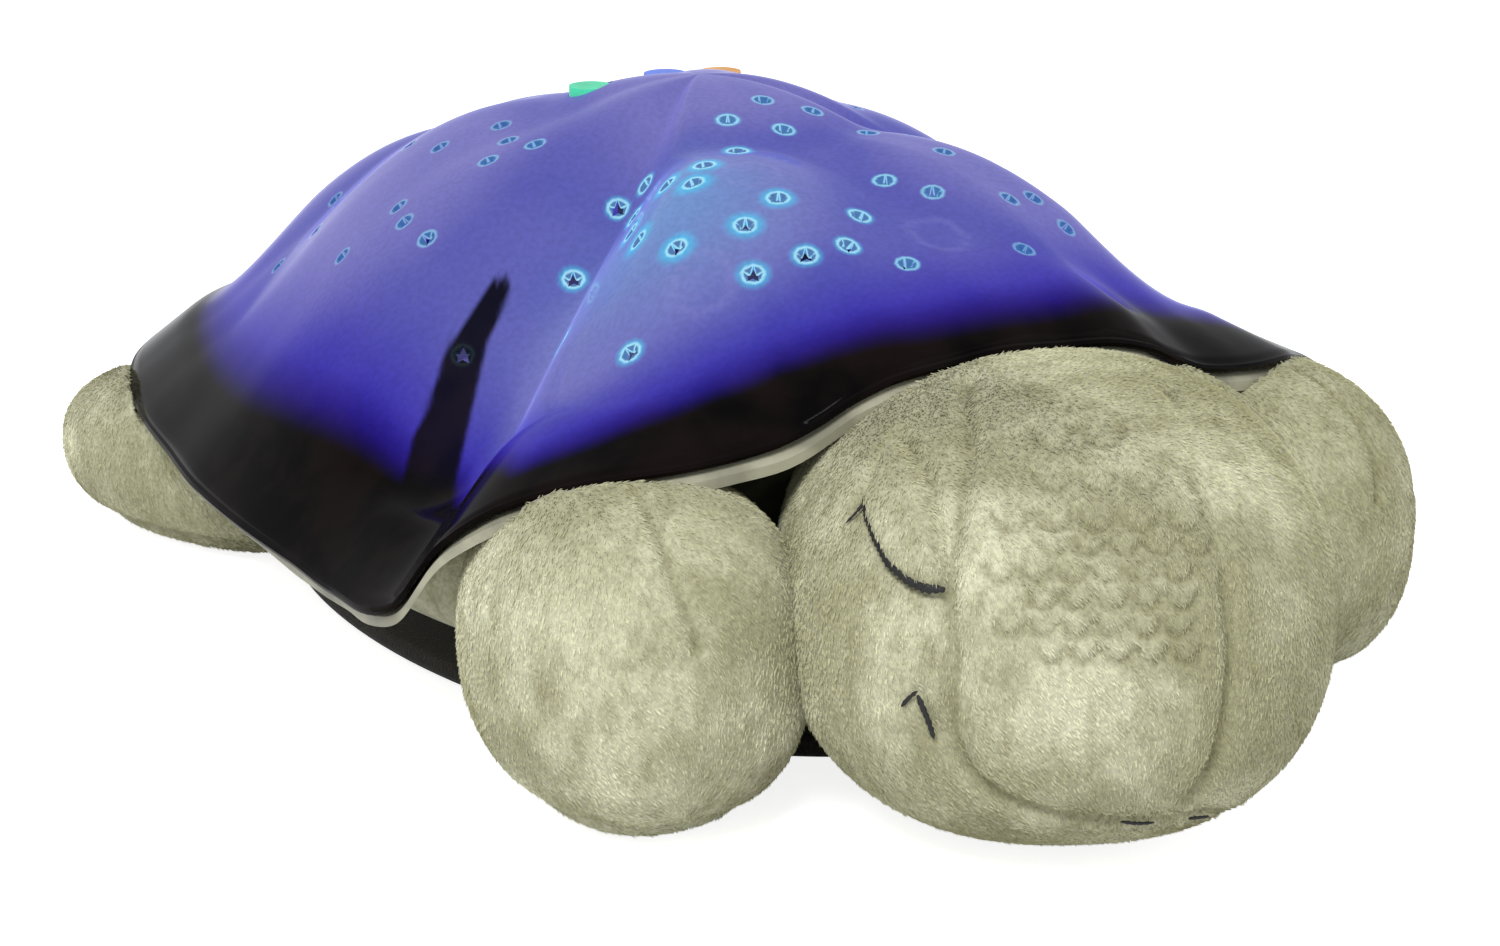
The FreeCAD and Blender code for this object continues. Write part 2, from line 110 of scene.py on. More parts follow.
def shell_mm(points):
    # From the part's metres back to the shell's own millimetres.
    out = np.asarray(points, float) / MM
    out[:, 1] += SHIFT_Y
    return out


def cast(obj, pixels):
    # The spots of a piece, in shell millimetres, that lie behind these pixels.
    tree = BVHTree.FromPolygons([v.co for v in obj.data.vertices],
                                [tuple(f.vertices) for f in obj.data.polygons])
    middle = Vector(np.array([v.co for v in obj.data.vertices]).mean(0))
    hits = []
    for u, v in pixels:
        ray = pixel_ray(u, v)
        hit = tree.ray_cast(CAMERA_SPOT, ray)[0]
        if hit is None:
            hit = tree.find_nearest(CAMERA_SPOT + ray * (middle - CAMERA_SPOT).dot(ray))[0]
        hits.append(tuple(hit))
    return shell_mm(hits)


def line_distance(points, line):
    # How far each point lies from a broken line.
    best = np.full(len(points), 1e9)
    for a, b in zip(line[:-1], line[1:]):
        along = b - a
        t = np.clip(((points - a) @ along) / max(along @ along, 1e-9), 0, 1)
        best = np.minimum(best, ((points - a - t[:, None] * along) ** 2).sum(1))
    return np.sqrt(best)


def inside(spots, polygon, soft):
    # 1 inside a polygon of the photograph, falling to 0 over soft pixels outside it.
    poly = np.asarray(polygon, float)
    odd = np.zeros(len(spots), bool)
    for (x0, y0), (x1, y1) in zip(poly, np.roll(poly, -1, 0)):
        crosses = (y0 > spots[:, 1]) != (y1 > spots[:, 1])
        odd ^= crosses & (spots[:, 0] < (x1 - x0) * (spots[:, 1] - y0) / (y1 - y0 + 1e-9) + x0)
    edge = line_distance(spots, np.vstack([poly, poly[:1]]))
    return np.clip(0.5 + np.where(odd, edge, -edge) / (2 * soft), 0, 1)


print("camera lens %.1f mm" % camera_data.lens)

# %% [markdown]
# ## Small helpers
# A mesh from arrays, a node tree with short calls, and a clear name for each
# attribute that carries a pattern along the surface.

# %% Mesh and node helpers


def mesh_object(name, verts, faces, smooth=True):
    mesh = bpy.data.meshes.new(name)
    mesh.from_pydata([tuple(v) for v in verts], [], [tuple(f) for f in faces])
    mesh.update()
    bm = bmesh.new()
    bm.from_mesh(mesh)
    bmesh.ops.remove_doubles(bm, verts=bm.verts, dist=1e-6)
    bmesh.ops.recalc_face_normals(bm, faces=bm.faces)
    bm.to_mesh(mesh)
    bm.free()
    if smooth:
        mesh.polygons.foreach_set("use_smooth", [True] * len(mesh.polygons))
    obj = linked(name, mesh)
    return obj


def coords(obj):
    out = np.empty(len(obj.data.vertices) * 3)
    obj.data.vertices.foreach_get("co", out)
    return out.reshape(-1, 3)


def set_coords(obj, points):
    obj.data.vertices.foreach_set("co", np.asarray(points, float).ravel())
    obj.data.update()


def normals(obj):
    out = np.empty(len(obj.data.vertices) * 3)
    obj.data.vertices.foreach_get("normal", out)
    return out.reshape(-1, 3)


def set_attribute(obj, name, values):
    values = np.asarray(values, float)
    kind = "FLOAT_VECTOR" if values.ndim == 2 else "FLOAT"
    old = obj.data.attributes.get(name)
    if old:
        obj.data.attributes.remove(old)
    attribute = obj.data.attributes.new(name, kind, "POINT")
    attribute.data.foreach_set("vector" if values.ndim == 2 else "value", values.ravel())


def smoothstep(low, high, x):
    t = np.clip((x - low) / (high - low), 0, 1)
    return t * t * (3 - 2 * t)


class Nodes:
    """A short way to add nodes to a tree and join them."""

    def __init__(self, tree):
        self.tree = tree

    def add(self, kind, inputs=None, **settings):
        node = self.tree.nodes.new(kind)
        for key, value in settings.items():
            setattr(node, key, value)
        return self.feed(node, inputs or {})

    def feed(self, node, inputs):
        # Sets each input to a value, or joins the output of another node to it.
        for key, value in inputs.items():
            socket = node.inputs[key]
            if isinstance(value, bpy.types.NodeSocket):
                self.tree.links.new(value, socket)
            else:
                socket.default_value = value
        return node

    def math(self, operation, a, b=0.0, clamp=False):
        node = self.add("ShaderNodeMath", {0: a, 1: b}, operation=operation)
        node.use_clamp = clamp
        return node.outputs[0]

    def attribute(self, name):
        return self.add("ShaderNodeAttribute", attribute_name=name).outputs["Fac"]

    def ramp(self, value, low, high, to_low=0.0, to_high=1.0):
        node = self.add("ShaderNodeMapRange", {"Value": value, "From Min": low,
                        "From Max": high, "To Min": to_low, "To Max": to_high})
        node.interpolation_type = "SMOOTHSTEP"
        return node.outputs["Result"]

    def mix(self, factor, a, b, blend="MIX"):
        node = self.add("ShaderNodeMix", data_type="RGBA", blend_type=blend)
        return self.feed(node, {0: factor, 6: a, 7: b}).outputs[2]

    def noise(self, vector, scale, detail=2.0, roughness=0.5, output="Fac"):
        return self.add("ShaderNodeTexNoise", {"Vector": vector, "Scale": scale,
                        "Detail": detail, "Roughness": roughness}).outputs[output]

    def here(self):
        return self.add("ShaderNodeTexCoord").outputs["Object"]


def new_material(name):
    material = bpy.data.materials.new(name)
    material.use_nodes = True
    tree = material.node_tree
    for node in list(tree.nodes):
        tree.nodes.remove(node)
    kit = Nodes(tree)
    shader = kit.add("ShaderNodeBsdfPrincipled")
    output = kit.add("ShaderNodeOutputMaterial")
    tree.links.new(shader.outputs[0], output.inputs["Surface"])
    return material, kit, shader


def linear(r, g, b):
    # A colour given as the photograph shows it, 0 to 255, as light values.
    def one(c):
        c = c / 255.0
        return c / 12.92 if c <= 0.04045 else ((c + 0.055) / 1.055) ** 2.4
    return (one(r), one(g), one(b), 1.0)


def linked(name, data):
    obj = bpy.data.objects.new(name, data)
    bpy.context.collection.objects.link(obj)
    return obj


def bump(kit, shader, height, strength, distance):
    node = kit.add("ShaderNodeBump", {"Height": height, "Strength": strength,
                                      "Distance": distance})
    kit.tree.links.new(node.outputs[0], shader.inputs["Normal"])
    return node


# %% [markdown]
# ## The shell's shape
# The dome is a height over the plan. These are the same sizes as the part's: a
# rim that climbs over the front legs, a flared brim and puffed scutes above it.
# Rings and spokes make the mesh, so that the rim and the crease are clean lines.

# %% Shell sizes and its height
RIM = np.array([
    (0, -86, 96.5), (14, -86, 95.5), (29, -87, 94.5), (40, -87, 91.5), (48, -86, 87.5),
    (58, -84, 83.5), (75, -80, 80.5), (92, -72, 78), (104, -63, 74),
    (114, -57, 69.5), (123, -51, 61.5), (131, -44, 47.5), (132, -15, 42.5),
    (132, 10, 42), (133, 40, 42), (132, 70, 42), (127, 104, 41.5),
    (121, 140, 41), (113, 170, 40.5), (100, 198, 40.5), (82, 218, 40.5),
    (60, 228, 40.5), (30, 235, 41.5), (0, 238, 42.5)], float)
MIDDLE_Y = 50.0
BRIM_ANGLES = [0, 25, 38, 50, 62, 80, 110, 140, 180]
BRIM_WIDTHS = [9, 13, 22, 32, 21, 13, 12, 19, 20]
BRIM_RISES = [7, 8, 9, 11, 13, 14, 14, 15, 14]
CROWN = 128.4
DOME_ANGLES = [0, 30, 50, 75, 110, 145, 180]
DOME_FULLNESS = [2.0, 2.4, 1.7, 2.15, 2.05, 2.65, 1.9]
DOME_FLARE = [0.95, 1.3, 2.15, 1.05, 1.05, 1.45, 1.25]
SCUTES = [(0, 44, 47, 45, 6.2), (50, -22, 50, 42, 7.5), (74, 80, 50, 50, 7.0),
          (44, 162, 42, 42, 6.2), (0, 125, 36, 36, 5.0)]
PUFF_POWER = 1.3
SCUTE_FADE = 0.25
WALL = 2.4
TRAY_WALL = 2.4
FLOOR = 46.0
FLOOR_REACH = 0.68


def curve_value(angle, angles, values):
    # The part's own smooth curve through a table, for whole arrays of angles.
    angles, values = np.asarray(angles, float), np.asarray(values, float)
    slope = np.zeros(len(angles))
    slope[1:-1] = (values[2:] - values[:-2]) / (angles[2:] - angles[:-2])
    i = np.clip(np.searchsorted(angles, angle) - 1, 0, len(angles) - 2)
    span = angles[i + 1] - angles[i]
    t = (angle - angles[i]) / span
    return ((2 * t**3 - 3 * t**2 + 1) * values[i] + (t**3 - 2 * t**2 + t) * span * slope[i]
            + (3 * t**2 - 2 * t**3) * values[i + 1] + (t**3 - t**2) * span * slope[i + 1])


def neck_angle(x, y):
    return np.degrees(np.arctan2(np.abs(x), MIDDLE_Y - y))


RIM_ANGLES = neck_angle(RIM[:, 0], RIM[:, 1])
RIM_REACH = np.hypot(RIM[:, 0], RIM[:, 1] - MIDDLE_Y)


def brim_at(x, y):
    angle = neck_angle(x, y)
    reach = curve_value(angle, RIM_ANGLES, RIM_REACH)
    share = np.hypot(x, y - MIDDLE_Y) / reach
    crease = 1 - curve_value(angle, BRIM_ANGLES, BRIM_WIDTHS) / reach
    return (angle, share, crease, curve_value(angle, RIM_ANGLES, RIM[:, 2]),
            curve_value(angle, BRIM_ANGLES, BRIM_RISES))


def puff_at(x, y):
    out = np.zeros_like(x)
    for sx, sy, half_x, half_y, puff in SCUTES:
        for side in ((1, -1) if sx else (1,)):
            away = ((x - side * sx) / half_x) ** 2 + ((y - sy) / half_y) ** 2
            out += puff * np.clip(1 - away, 0, 1) ** PUFF_POWER
    return out


def shell_height(x, y):
    angle, share, crease, rim, rise = brim_at(x, y)
    inward = np.minimum(share / crease, 1)
    full = curve_value(angle, DOME_ANGLES, DOME_FULLNESS)
    flare = curve_value(angle, DOME_ANGLES, DOME_FLARE)
    dome = rim + rise + (CROWN - rim - rise) * (1 - inward**full) ** flare
    dome += puff_at(x, y) * np.minimum(1, (1 - inward) / SCUTE_FADE)
    brim = rim + rise * (1 - share) / (1 - crease)
    return np.where(share >= crease, brim, dome)


def tray_under(x, y):
    angle, share, crease, rim, rise = brim_at(x, y)
    inward = share / crease
    edge = rim + rise - WALL
    blend = smoothstep(FLOOR_REACH, 1.0, inward)
    bowl = FLOOR + (edge - FLOOR) * blend
    brim = rim + rise * (1 - share) / (1 - crease) - WALL
    return np.where(share >= crease, brim, bowl) - TRAY_WALL, share


print("shell heights: crown %.1f, rim %.1f to %.1f mm" % (
    shell_height(np.array([0.0]), np.array([44.0]))[0], RIM[:, 2].min(), RIM[:, 2].max()))

# %% [markdown]
# ## Star holes
# The stars are real holes through the wall, cut square to the surface. Each
# point of the shell also learns how far the nearest star is, because the moulded
# plastic glows round every hole where the lamp's light leaks along the cut.

# %% Star positions and the shell mesh
STAR_OUTER, STAR_INNER, STAR_POINTS = 2.7, 1.25, 5
STAR_DEPTH = 6.0
STAR_REACH = (2.2, 3.2)     # how far the walls of a star hole lie from its middle
WALL_LEAN = 0.5             # a hole's wall has less than this of its normal along the shell's
BUTTON_NAMES = ["button_green", "button_blue", "button_amber", "button_power"]
BUTTON_HOLE = 5.85
BUTTON_HOLE_SIDES = 48
SPOKES, RINGS = 360, 84
RING_POWER = 0.92
CREASE_SOFTNESS = 0.012
RIM_BEAD = 1.2
GRADIENT_STEP = 1.0


def shell_normals(x, y):
    d = GRADIENT_STEP
    slope_x = (shell_height(x + d, y) - shell_height(x - d, y)) / (2 * d)
    slope_y = (shell_height(x, y + d) - shell_height(x, y - d)) / (2 * d)
    out = np.stack([-slope_x, -slope_y, np.ones_like(slope_x)], 1)
    return out / np.linalg.norm(out, axis=1)[:, None]


def star_places():
    # Finds the star holes in the part's own dome. Their walls stand square to the
    # shell and join one another, so each hole is one group of joined faces. The
    # part sets its stars on whole millimetres of the top side.
    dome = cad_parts["shell_dome"]
    dome.data.calc_loop_triangles()
    corners = np.empty(len(dome.data.loop_triangles) * 3, int)
    dome.data.loop_triangles.foreach_get("vertices", corners)
    spots = shell_mm(coords(dome))[corners].reshape(-1, 3, 3)
    across = np.cross(spots[:, 1] - spots[:, 0], spots[:, 2] - spots[:, 0])
    area = np.linalg.norm(across, axis=1)
    middle = spots.mean(1)
    up = shell_normals(middle[:, 0], middle[:, 1])
    wall = (np.abs((across * up).sum(1)) < WALL_LEAN * area) & (area > 0)
    spots, area, middle = spots[wall], area[wall], middle[wall]
    corner = np.unique(spots.reshape(-1, 3), axis=0, return_inverse=True)[1].reshape(-1, 3)
    group, before = np.arange(corner.max() + 1), None
    while before is None or (group != before).any():
        before = group.copy()
        np.minimum.at(group, corner, before[corner].min(1)[:, None])
    group = group[corner[:, 0]]
    places = []
    for mark in np.unique(group):
        mine = group == mark
        centre = np.average(middle[mine], axis=0, weights=area[mine])
        axis = shell_normals(centre[:1], centre[1:2])[0]
        away = spots[mine].reshape(-1, 3) - centre
        reach = np.linalg.norm(away - (away @ axis)[:, None] * axis, axis=1).max()
        if STAR_REACH[0] < reach < STAR_REACH[1]:
            top = centre + axis * axis[2] * WALL / 2
            places.append((int(round(top[0])), int(round(top[1]))))
    return sorted(places)


def button_place(name):
    low, high = shell_mm([tuple(corner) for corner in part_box(name)])
    return round((low[0] + high[0]) / 2), round((low[1] + high[1]) / 2)


STARS = star_places()
BUTTONS = [button_place(name) for name in BUTTON_NAMES]
print("stars found in the dome:", len(STARS), "buttons at", BUTTONS)


def star_cutter(x, y):
    spot = np.array([[x], [y]], float)
    turn = Vector(shell_normals(*spot)[0]).to_track_quat("Z", "Y")
    centre = Vector((x, y, shell_height(*spot)[0]))
    count = 2 * STAR_POINTS
    ring = []
    for k in range(count):
        radius = STAR_OUTER if k % 2 == 0 else STAR_INNER
        a = math.pi * k / STAR_POINTS
        ring.append((radius * math.sin(a), radius * math.cos(a)))
    verts = [centre + turn @ Vector((px, py, pz))
             for pz in (-STAR_DEPTH, STAR_DEPTH) for px, py in ring]
    faces = [[count - 1 - k for k in range(count)], [count + k for k in range(count)]]
    faces += [[k, (k + 1) % count, count + (k + 1) % count, count + k] for k in range(count)]
    return [tuple(v) for v in verts], faces


spoke_turn = np.linspace(0, 2 * np.pi, SPOKES, endpoint=False)
spoke_x, spoke_y = np.sin(spoke_turn), -np.cos(spoke_turn)
spoke_reach = curve_value(neck_angle(spoke_x, MIDDLE_Y + spoke_y), RIM_ANGLES, RIM_REACH)
shares = np.linspace(0, 1, RINGS)[1:] ** RING_POWER
top, under = [], []
for share in shares:
    soft = 0
    for offset in (-1, 0, 1):
        s = min(share + offset * CREASE_SOFTNESS, 1.0)
        soft = soft + shell_height(spoke_x * spoke_reach * s,
                                   MIDDLE_Y + spoke_y * spoke_reach * s) / 3
    top.append(np.stack([spoke_x * spoke_reach * share,
                         MIDDLE_Y + spoke_y * spoke_reach * share, soft], 1))
edge_round = [(0.85, -0.35), (RIM_BEAD, -RIM_BEAD), (0.85, -2.05)]
bead = []
for out_by, down_by in edge_round:
    ring = top[-1].copy()
    ring[:, 0] += spoke_x * (out_by - RIM_BEAD)
    ring[:, 1] += spoke_y * (out_by - RIM_BEAD)
    ring[:, 2] += down_by
    bead.append(ring)
top[-1][:, 0] -= spoke_x * RIM_BEAD
top[-1][:, 1] -= spoke_y * RIM_BEAD
for ring in reversed(top):
    low = ring.copy()
    low[:, 2] -= WALL
    under.append(low)
rings = top + bead + under
crown_z = float(shell_height(np.array([0.0]), np.array([MIDDLE_Y]))[0])
verts = [(0, MIDDLE_Y, crown_z)] + [tuple(p) for ring in rings for p in ring]
verts.append((0, MIDDLE_Y, crown_z - WALL))
faces = []
for k in range(SPOKES):
    nxt = (k + 1) % SPOKES
    faces.append((0, 1 + k, 1 + nxt))
    for r in range(len(rings) - 1):
        a, b = 1 + r * SPOKES, 1 + (r + 1) * SPOKES
        faces.append((a + k, b + k, b + nxt, a + nxt))
    last = 1 + (len(rings) - 1) * SPOKES
    faces.append((last + k, len(verts) - 1, last + nxt))
shell = mesh_object("shell", place(verts), faces)

cut_verts, cut_faces = [], []
for x, y in STARS:
    v, f = star_cutter(x, y)
    cut_faces += [[i + len(cut_verts) for i in face] for face in f]
    cut_verts += v
for x, y in BUTTONS:
    start = len(cut_verts)
    count = BUTTON_HOLE_SIDES
    for z in (CROWN - 25, CROWN + 25):
        for k in range(count):
            a = 2 * math.pi * k / count
            cut_verts.append((x + BUTTON_HOLE * math.cos(a), y + BUTTON_HOLE * math.sin(a), z))
    cut_faces.append([start + count - 1 - k for k in range(count)])
    cut_faces.append([start + count + k for k in range(count)])
    cut_faces += [[start + k, start + (k + 1) % count, start + count + (k + 1) % count,
                   start + count + k] for k in range(count)]
cutter = mesh_object("star_cutter", place(cut_verts), cut_faces, smooth=False)


def apply_modifiers(obj):
    graph = bpy.context.evaluated_depsgraph_get()
    mesh = bpy.data.meshes.new_from_object(obj.evaluated_get(graph))
    obj.modifiers.clear()
    obj.data = mesh


cut = shell.modifiers.new("stars", "BOOLEAN")
cut.object, cut.operation, cut.solver = cutter, "DIFFERENCE", "MANIFOLD"
apply_modifiers(shell)
bpy.data.objects.remove(cutter)
shell.data.set_sharp_from_angle(angle=math.radians(40))

points = coords(shell) / MM
sx, sy = points[:, 0], points[:, 1] + SHIFT_Y
angle, share, crease, rim, rise = brim_at(sx, sy)
surface_z = shell_height(sx, sy)
star_away = np.full(len(points), 50.0)
star_glow = np.zeros(len(points))
# middle of a painted pool of cyan light on the shell; stars near it are painted brighter
PAINTED_POOL_MIDDLE = (-44, -16)
for x, y in STARS:
    z = shell_height(np.array([float(x)]), np.array([float(y)]))[0]
    away = np.sqrt((sx - x) ** 2 + (sy - y) ** 2 + (surface_z - z) ** 2)
    near = away < star_away
    star_away = np.where(near, away, star_away)
    power = math.exp(-((x - PAINTED_POOL_MIDDLE[0]) ** 2 + (y - PAINTED_POOL_MIDDLE[1]) ** 2) / (2 * 34.0 ** 2))
    star_glow = np.where(near, 0.22 + 0.78 * power, star_glow)
set_attribute(shell, "star_away", star_away)
set_attribute(shell, "star_glow", star_glow)
set_attribute(shell, "puff", puff_at(sx, sy) / 5.0)
painted_blue_pool = np.exp(-(((sx - PAINTED_POOL_MIDDLE[0]) / 22) ** 2 + ((sy - PAINTED_POOL_MIDDLE[1]) / 24) ** 2))
set_attribute(shell, "painted_blue_pool", painted_blue_pool)
LIT_EDGE = [(220, 377), (300, 420), (400, 477), (453, 490), (513, 477), (580, 450),
            (647, 423), (713, 397), (780, 370), (847, 350), (913, 337), (980, 325)]
edge_spots = cast(shell, LIT_EDGE)
edge_angle, edge_share, edge_crease = brim_at(edge_spots[:, 0], edge_spots[:, 1])[:3]
order = np.argsort(edge_angle)
lit_limit = np.interp(angle, edge_angle[order], (edge_share / edge_crease)[order])
print("lit edge, share of the way to the crease:", np.round(edge_share / edge_crease, 2))
set_attribute(shell, "lit_room", lit_limit - share / crease)
# painted shadow of an inner post, cast by the lamp onto the dome, drawn on both front sides
POST_SHADOW = [(493, 279), (508, 277), (511, 290), (487, 345), (470, 420), (452, 500),
               (398, 500), (412, 440), (430, 400), (447, 345), (466, 322)]
# faint lighter rings painted into the glow
DISCS, DISC_RADIUS = [(-51, -41), (-24, -16), (6, -49)], 6.6
plan = np.stack([sx, sy, surface_z], 1)
painted_post_shadow, disc = np.zeros(len(points)), np.zeros(len(points))
for mirror in (1, -1):
    seen = to_pixel(plan * (mirror, 1, 1))
    painted_post_shadow = np.maximum(painted_post_shadow, inside(seen, POST_SHADOW, 3.0) * (sx * mirror < 0))
for x, y in DISCS:
    away = np.hypot(sx - x, sy - y)
    disc = np.maximum(disc, 1 - smoothstep(0.4, 1.1, np.abs(away - DISC_RADIUS)))
set_attribute(shell, "painted_post_shadow", painted_post_shadow)
set_attribute(shell, "disc", disc)
print("shell:", len(shell.data.vertices), "vertices,", len(shell.data.polygons), "faces")

# %% [markdown]
# ## The shell's material
# One glossy moulding, dark where nothing lights it. Inside the dome the lamp
# fills it with a violet blue that deepens in the valleys between the scutes and
# ends in a saturated edge above the brim. That light is painted as emission: a node
# group turns the attributes into it, with painted shade in the valleys, a painted
# pool of cyan light and the painted shadow of an inner post, and the Principled
# shader adds the polished skin over it.

# %% Shell glow group and material


def glow_group():
    tree = bpy.data.node_groups.new("shell_glow", "ShaderNodeTree")
    tree.interface.new_socket("Light", in_out="OUTPUT", socket_type="NodeSocketColor")
    tree.interface.new_socket("Lit", in_out="OUTPUT", socket_type="NodeSocketFloat")
    kit = Nodes(tree)
    out = kit.add("NodeGroupOutput")
    puff = kit.attribute("puff")
    away = kit.attribute("star_away")
    glow = kit.attribute("star_glow")
    here = kit.here()
    room = kit.attribute("lit_room")
    lit = kit.ramp(room, -0.018, 0.03)
    edge = kit.ramp(room, 0.0, 0.26)
    # painted light: the glow is lighter on the puffed scutes and in random clouds, with painted shade
    # deeper blue in the valleys between them
    cloud = kit.ramp(kit.noise(here, 14.0, 3.0), 0.3, 0.7, -0.22, 0.22)
    high = kit.math("ADD", kit.ramp(puff, 0.05, 1.0), cloud, clamp=True)
    body = kit.mix(high, linear(88, 90, 176), linear(118, 116, 188))
    # painted shade: towards the edge of the lit region the glow turns a saturated blue, then dark
    body = kit.mix(edge, linear(50, 36, 168), body)
    body = kit.mix(kit.ramp(room, 0.0, 0.09), linear(24, 8, 104), body)
    # painted light: a pool of pale cyan light mixed into the glow
    body = kit.mix(kit.math("MULTIPLY", kit.attribute("painted_blue_pool"), 0.5), body,
                   linear(104, 168, 218))
    # painted light: faint lighter rings
    body = kit.mix(kit.math("MULTIPLY", kit.attribute("disc"), 0.16), body,
                   linear(150, 150, 215))
    near = kit.math("ADD", kit.math("MULTIPLY", kit.math("MULTIPLY", glow, glow), 4.0), 2.75)
    halo = kit.math("DIVIDE", kit.math("SUBTRACT", near, away), kit.math("SUBTRACT", near, 2.2),
                    clamp=True)
    halo = kit.math("POWER", halo, 1.4)
    body = kit.mix(kit.math("MULTIPLY", halo, kit.ramp(glow, 0.1, 0.6, 0.35, 1.0)), body,
                   linear(70, 200, 245))
    rim_glow = kit.math("MULTIPLY", kit.ramp(away, 3.3, 2.5), kit.ramp(glow, 0.1, 0.7, 0.1, 0.6))
    body = kit.mix(rim_glow, body, linear(200, 246, 255))
    core = kit.ramp(away, 2.5, 1.9, 0.0, 0.8)
    body = kit.mix(core, body, linear(26, 62, 150))
    grain = kit.ramp(kit.noise(here, 700.0, 2.0), 0.3, 0.7, 0.94, 1.06)
    body = kit.mix(1.0, body, kit.add("ShaderNodeCombineColor", {0: grain, 1: grain, 2: grain}
                                      ).outputs[0], "MULTIPLY")
    # painted shadow: the inner post's shadow dims the glow
    shade = kit.ramp(kit.attribute("painted_post_shadow"), 0.0, 1.0, 1.0, 0.03)
    lit = kit.math("MULTIPLY", lit, shade)
    tree.links.new(body, out.inputs["Light"])
    tree.links.new(lit, out.inputs["Lit"])
    return tree


shell_material, kit, shader = new_material("shell_glow_plastic")
group = kit.add("ShaderNodeGroup")
group.node_tree = glow_group()
dark = kit.mix(kit.ramp(kit.noise(kit.here(), 60.0, 3.0), 0.35, 0.65),
               linear(6, 5, 5), linear(20, 14, 13))
kit.feed(shader, {"Roughness": 0.12, "Specular IOR Level": 0.17, "IOR": 1.22})
kit.feed(shader, {"Base Color": dark, "Emission Color": group.outputs["Light"],
                  "Emission Strength": group.outputs["Lit"]})
bump(kit, shader, kit.noise(kit.here(), 900.0, 2.0), 0.04, 0.0002)
shell.data.materials.clear()
shell.data.materials.append(shell_material)
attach(shell, "turtle")
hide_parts("shell_dome")

# %% [markdown]
# ## The plush pieces
# Each stuffed piece starts as a ball that is swollen towards a rounded box, set
# on the floor and pressed under the tray. Seams are narrow valleys along which
# the cloth is drawn in, and the scales on the head and legs are quilted arcs.

# %% Plush shapes


def ball(name, level):
    mesh = bpy.data.meshes.new(name)
    bm = bmesh.new()
    bmesh.ops.create_icosphere(bm, subdivisions=level, radius=1.0)
    bm.to_mesh(mesh)
    bm.free()
    mesh.polygons.foreach_set("use_smooth", [True] * len(mesh.polygons))
    obj = linked(name, mesh)
    return obj


def press_under_tray(p, gap=0.8):
    # p in shell millimetres: whatever lies under the tray stays under it.
    roof, share = tray_under(p[:, 0], p[:, 1])
    covered = share < 1.0
    p[:, 2] = np.where(covered, np.minimum(p[:, 2], roof - gap), p[:, 2])
    return p


def settle(p, softness=5.0):
    # Rounds the bottom off into a flat rest on the floor.
    z = p[:, 2]
    low = z < softness
    p[:, 2] = np.where(low, np.maximum(0.15, z * 0.5 + softness * 0.5 * (z / softness) ** 2), z)
    p[:, 2] = np.maximum(p[:, 2], 0.15)
    return p


def stuffed(name, form, side=1, level=6, power=2.35):
    """form: middle x, y, half sizes, turn, bottom and top, in the part's order."""
    x, y, half_x, half_y, turn, bottom, top = form
    obj = ball(name, level)
    d = coords(obj)
    d /= (np.abs(d) ** power).sum(1)[:, None] ** (1 / power)
    p = d * (half_x, half_y, (top - bottom) / 2)
    a = math.radians(side * turn)
    rx = p[:, 0] * math.cos(a) - p[:, 1] * math.sin(a)
    ry = p[:, 0] * math.sin(a) + p[:, 1] * math.cos(a)
    world = np.stack([rx + side * x, ry + y, p[:, 2] + (bottom + top) / 2], 1)
    world = settle(press_under_tray(world))
    set_coords(obj, place(world))
    return obj


BODY = (0.0, 68.0, 108.0, 152.0, 0.0, 5.5, 56.0)
HEAD = (-2.6, -108.3, 59.6, 68.7, -28.7, -0.5, 96.8)
FRONT_LEG = (84.8, -69.5, 34.5, 41.0, -4.0, -0.5, 77.5)
REAR_LEG = (92.0, 149.0, 33.5, 51.5, -25.0, -0.5, 47.0)
TAIL = (0.0, 216.0, 15.0, 26.0, 0.0, 12.0, 33.0)

body = stuffed("plush_body_cover", BODY, level=6)
head = stuffed("head_cover", HEAD, level=7)
legs = {}
for word, side in (("left", 1), ("right", -1)):
    legs["front_leg_" + word] = stuffed("front_leg_" + word + "_cover", FRONT_LEG, side)
    legs["rear_leg_" + word] = stuffed("rear_leg_" + word + "_cover", REAR_LEG, side)
tail = stuffed("tail_cover", TAIL, level=5)


def faces_camera(obj):
    # 1 where a vertex looks at the camera.
    return ((np.array(CAMERA_SPOT) - coords(obj)) * normals(obj)).sum(1) > 0


def push(obj, depth):
    # Moves each vertex inwards along its normal by a depth in millimetres.
    set_coords(obj, coords(obj) - normals(obj) * np.asarray(depth)[:, None] * MM)


def valley(away, width):
    return np.exp(-(away / width) ** 2)


print("plush pieces:", 3 + len(legs))

# %% [markdown]
# ## The head's seams, eyelids and scales
# Two seams run over the head from the neck to the chin and leave a strip with
# quilted scales between them. Each eye is closed: a padded eyelid patch against
# the seam, with a black lash line along its lower edge. The lines are given as
# the pixels where the photograph shows them and are cast onto the head.

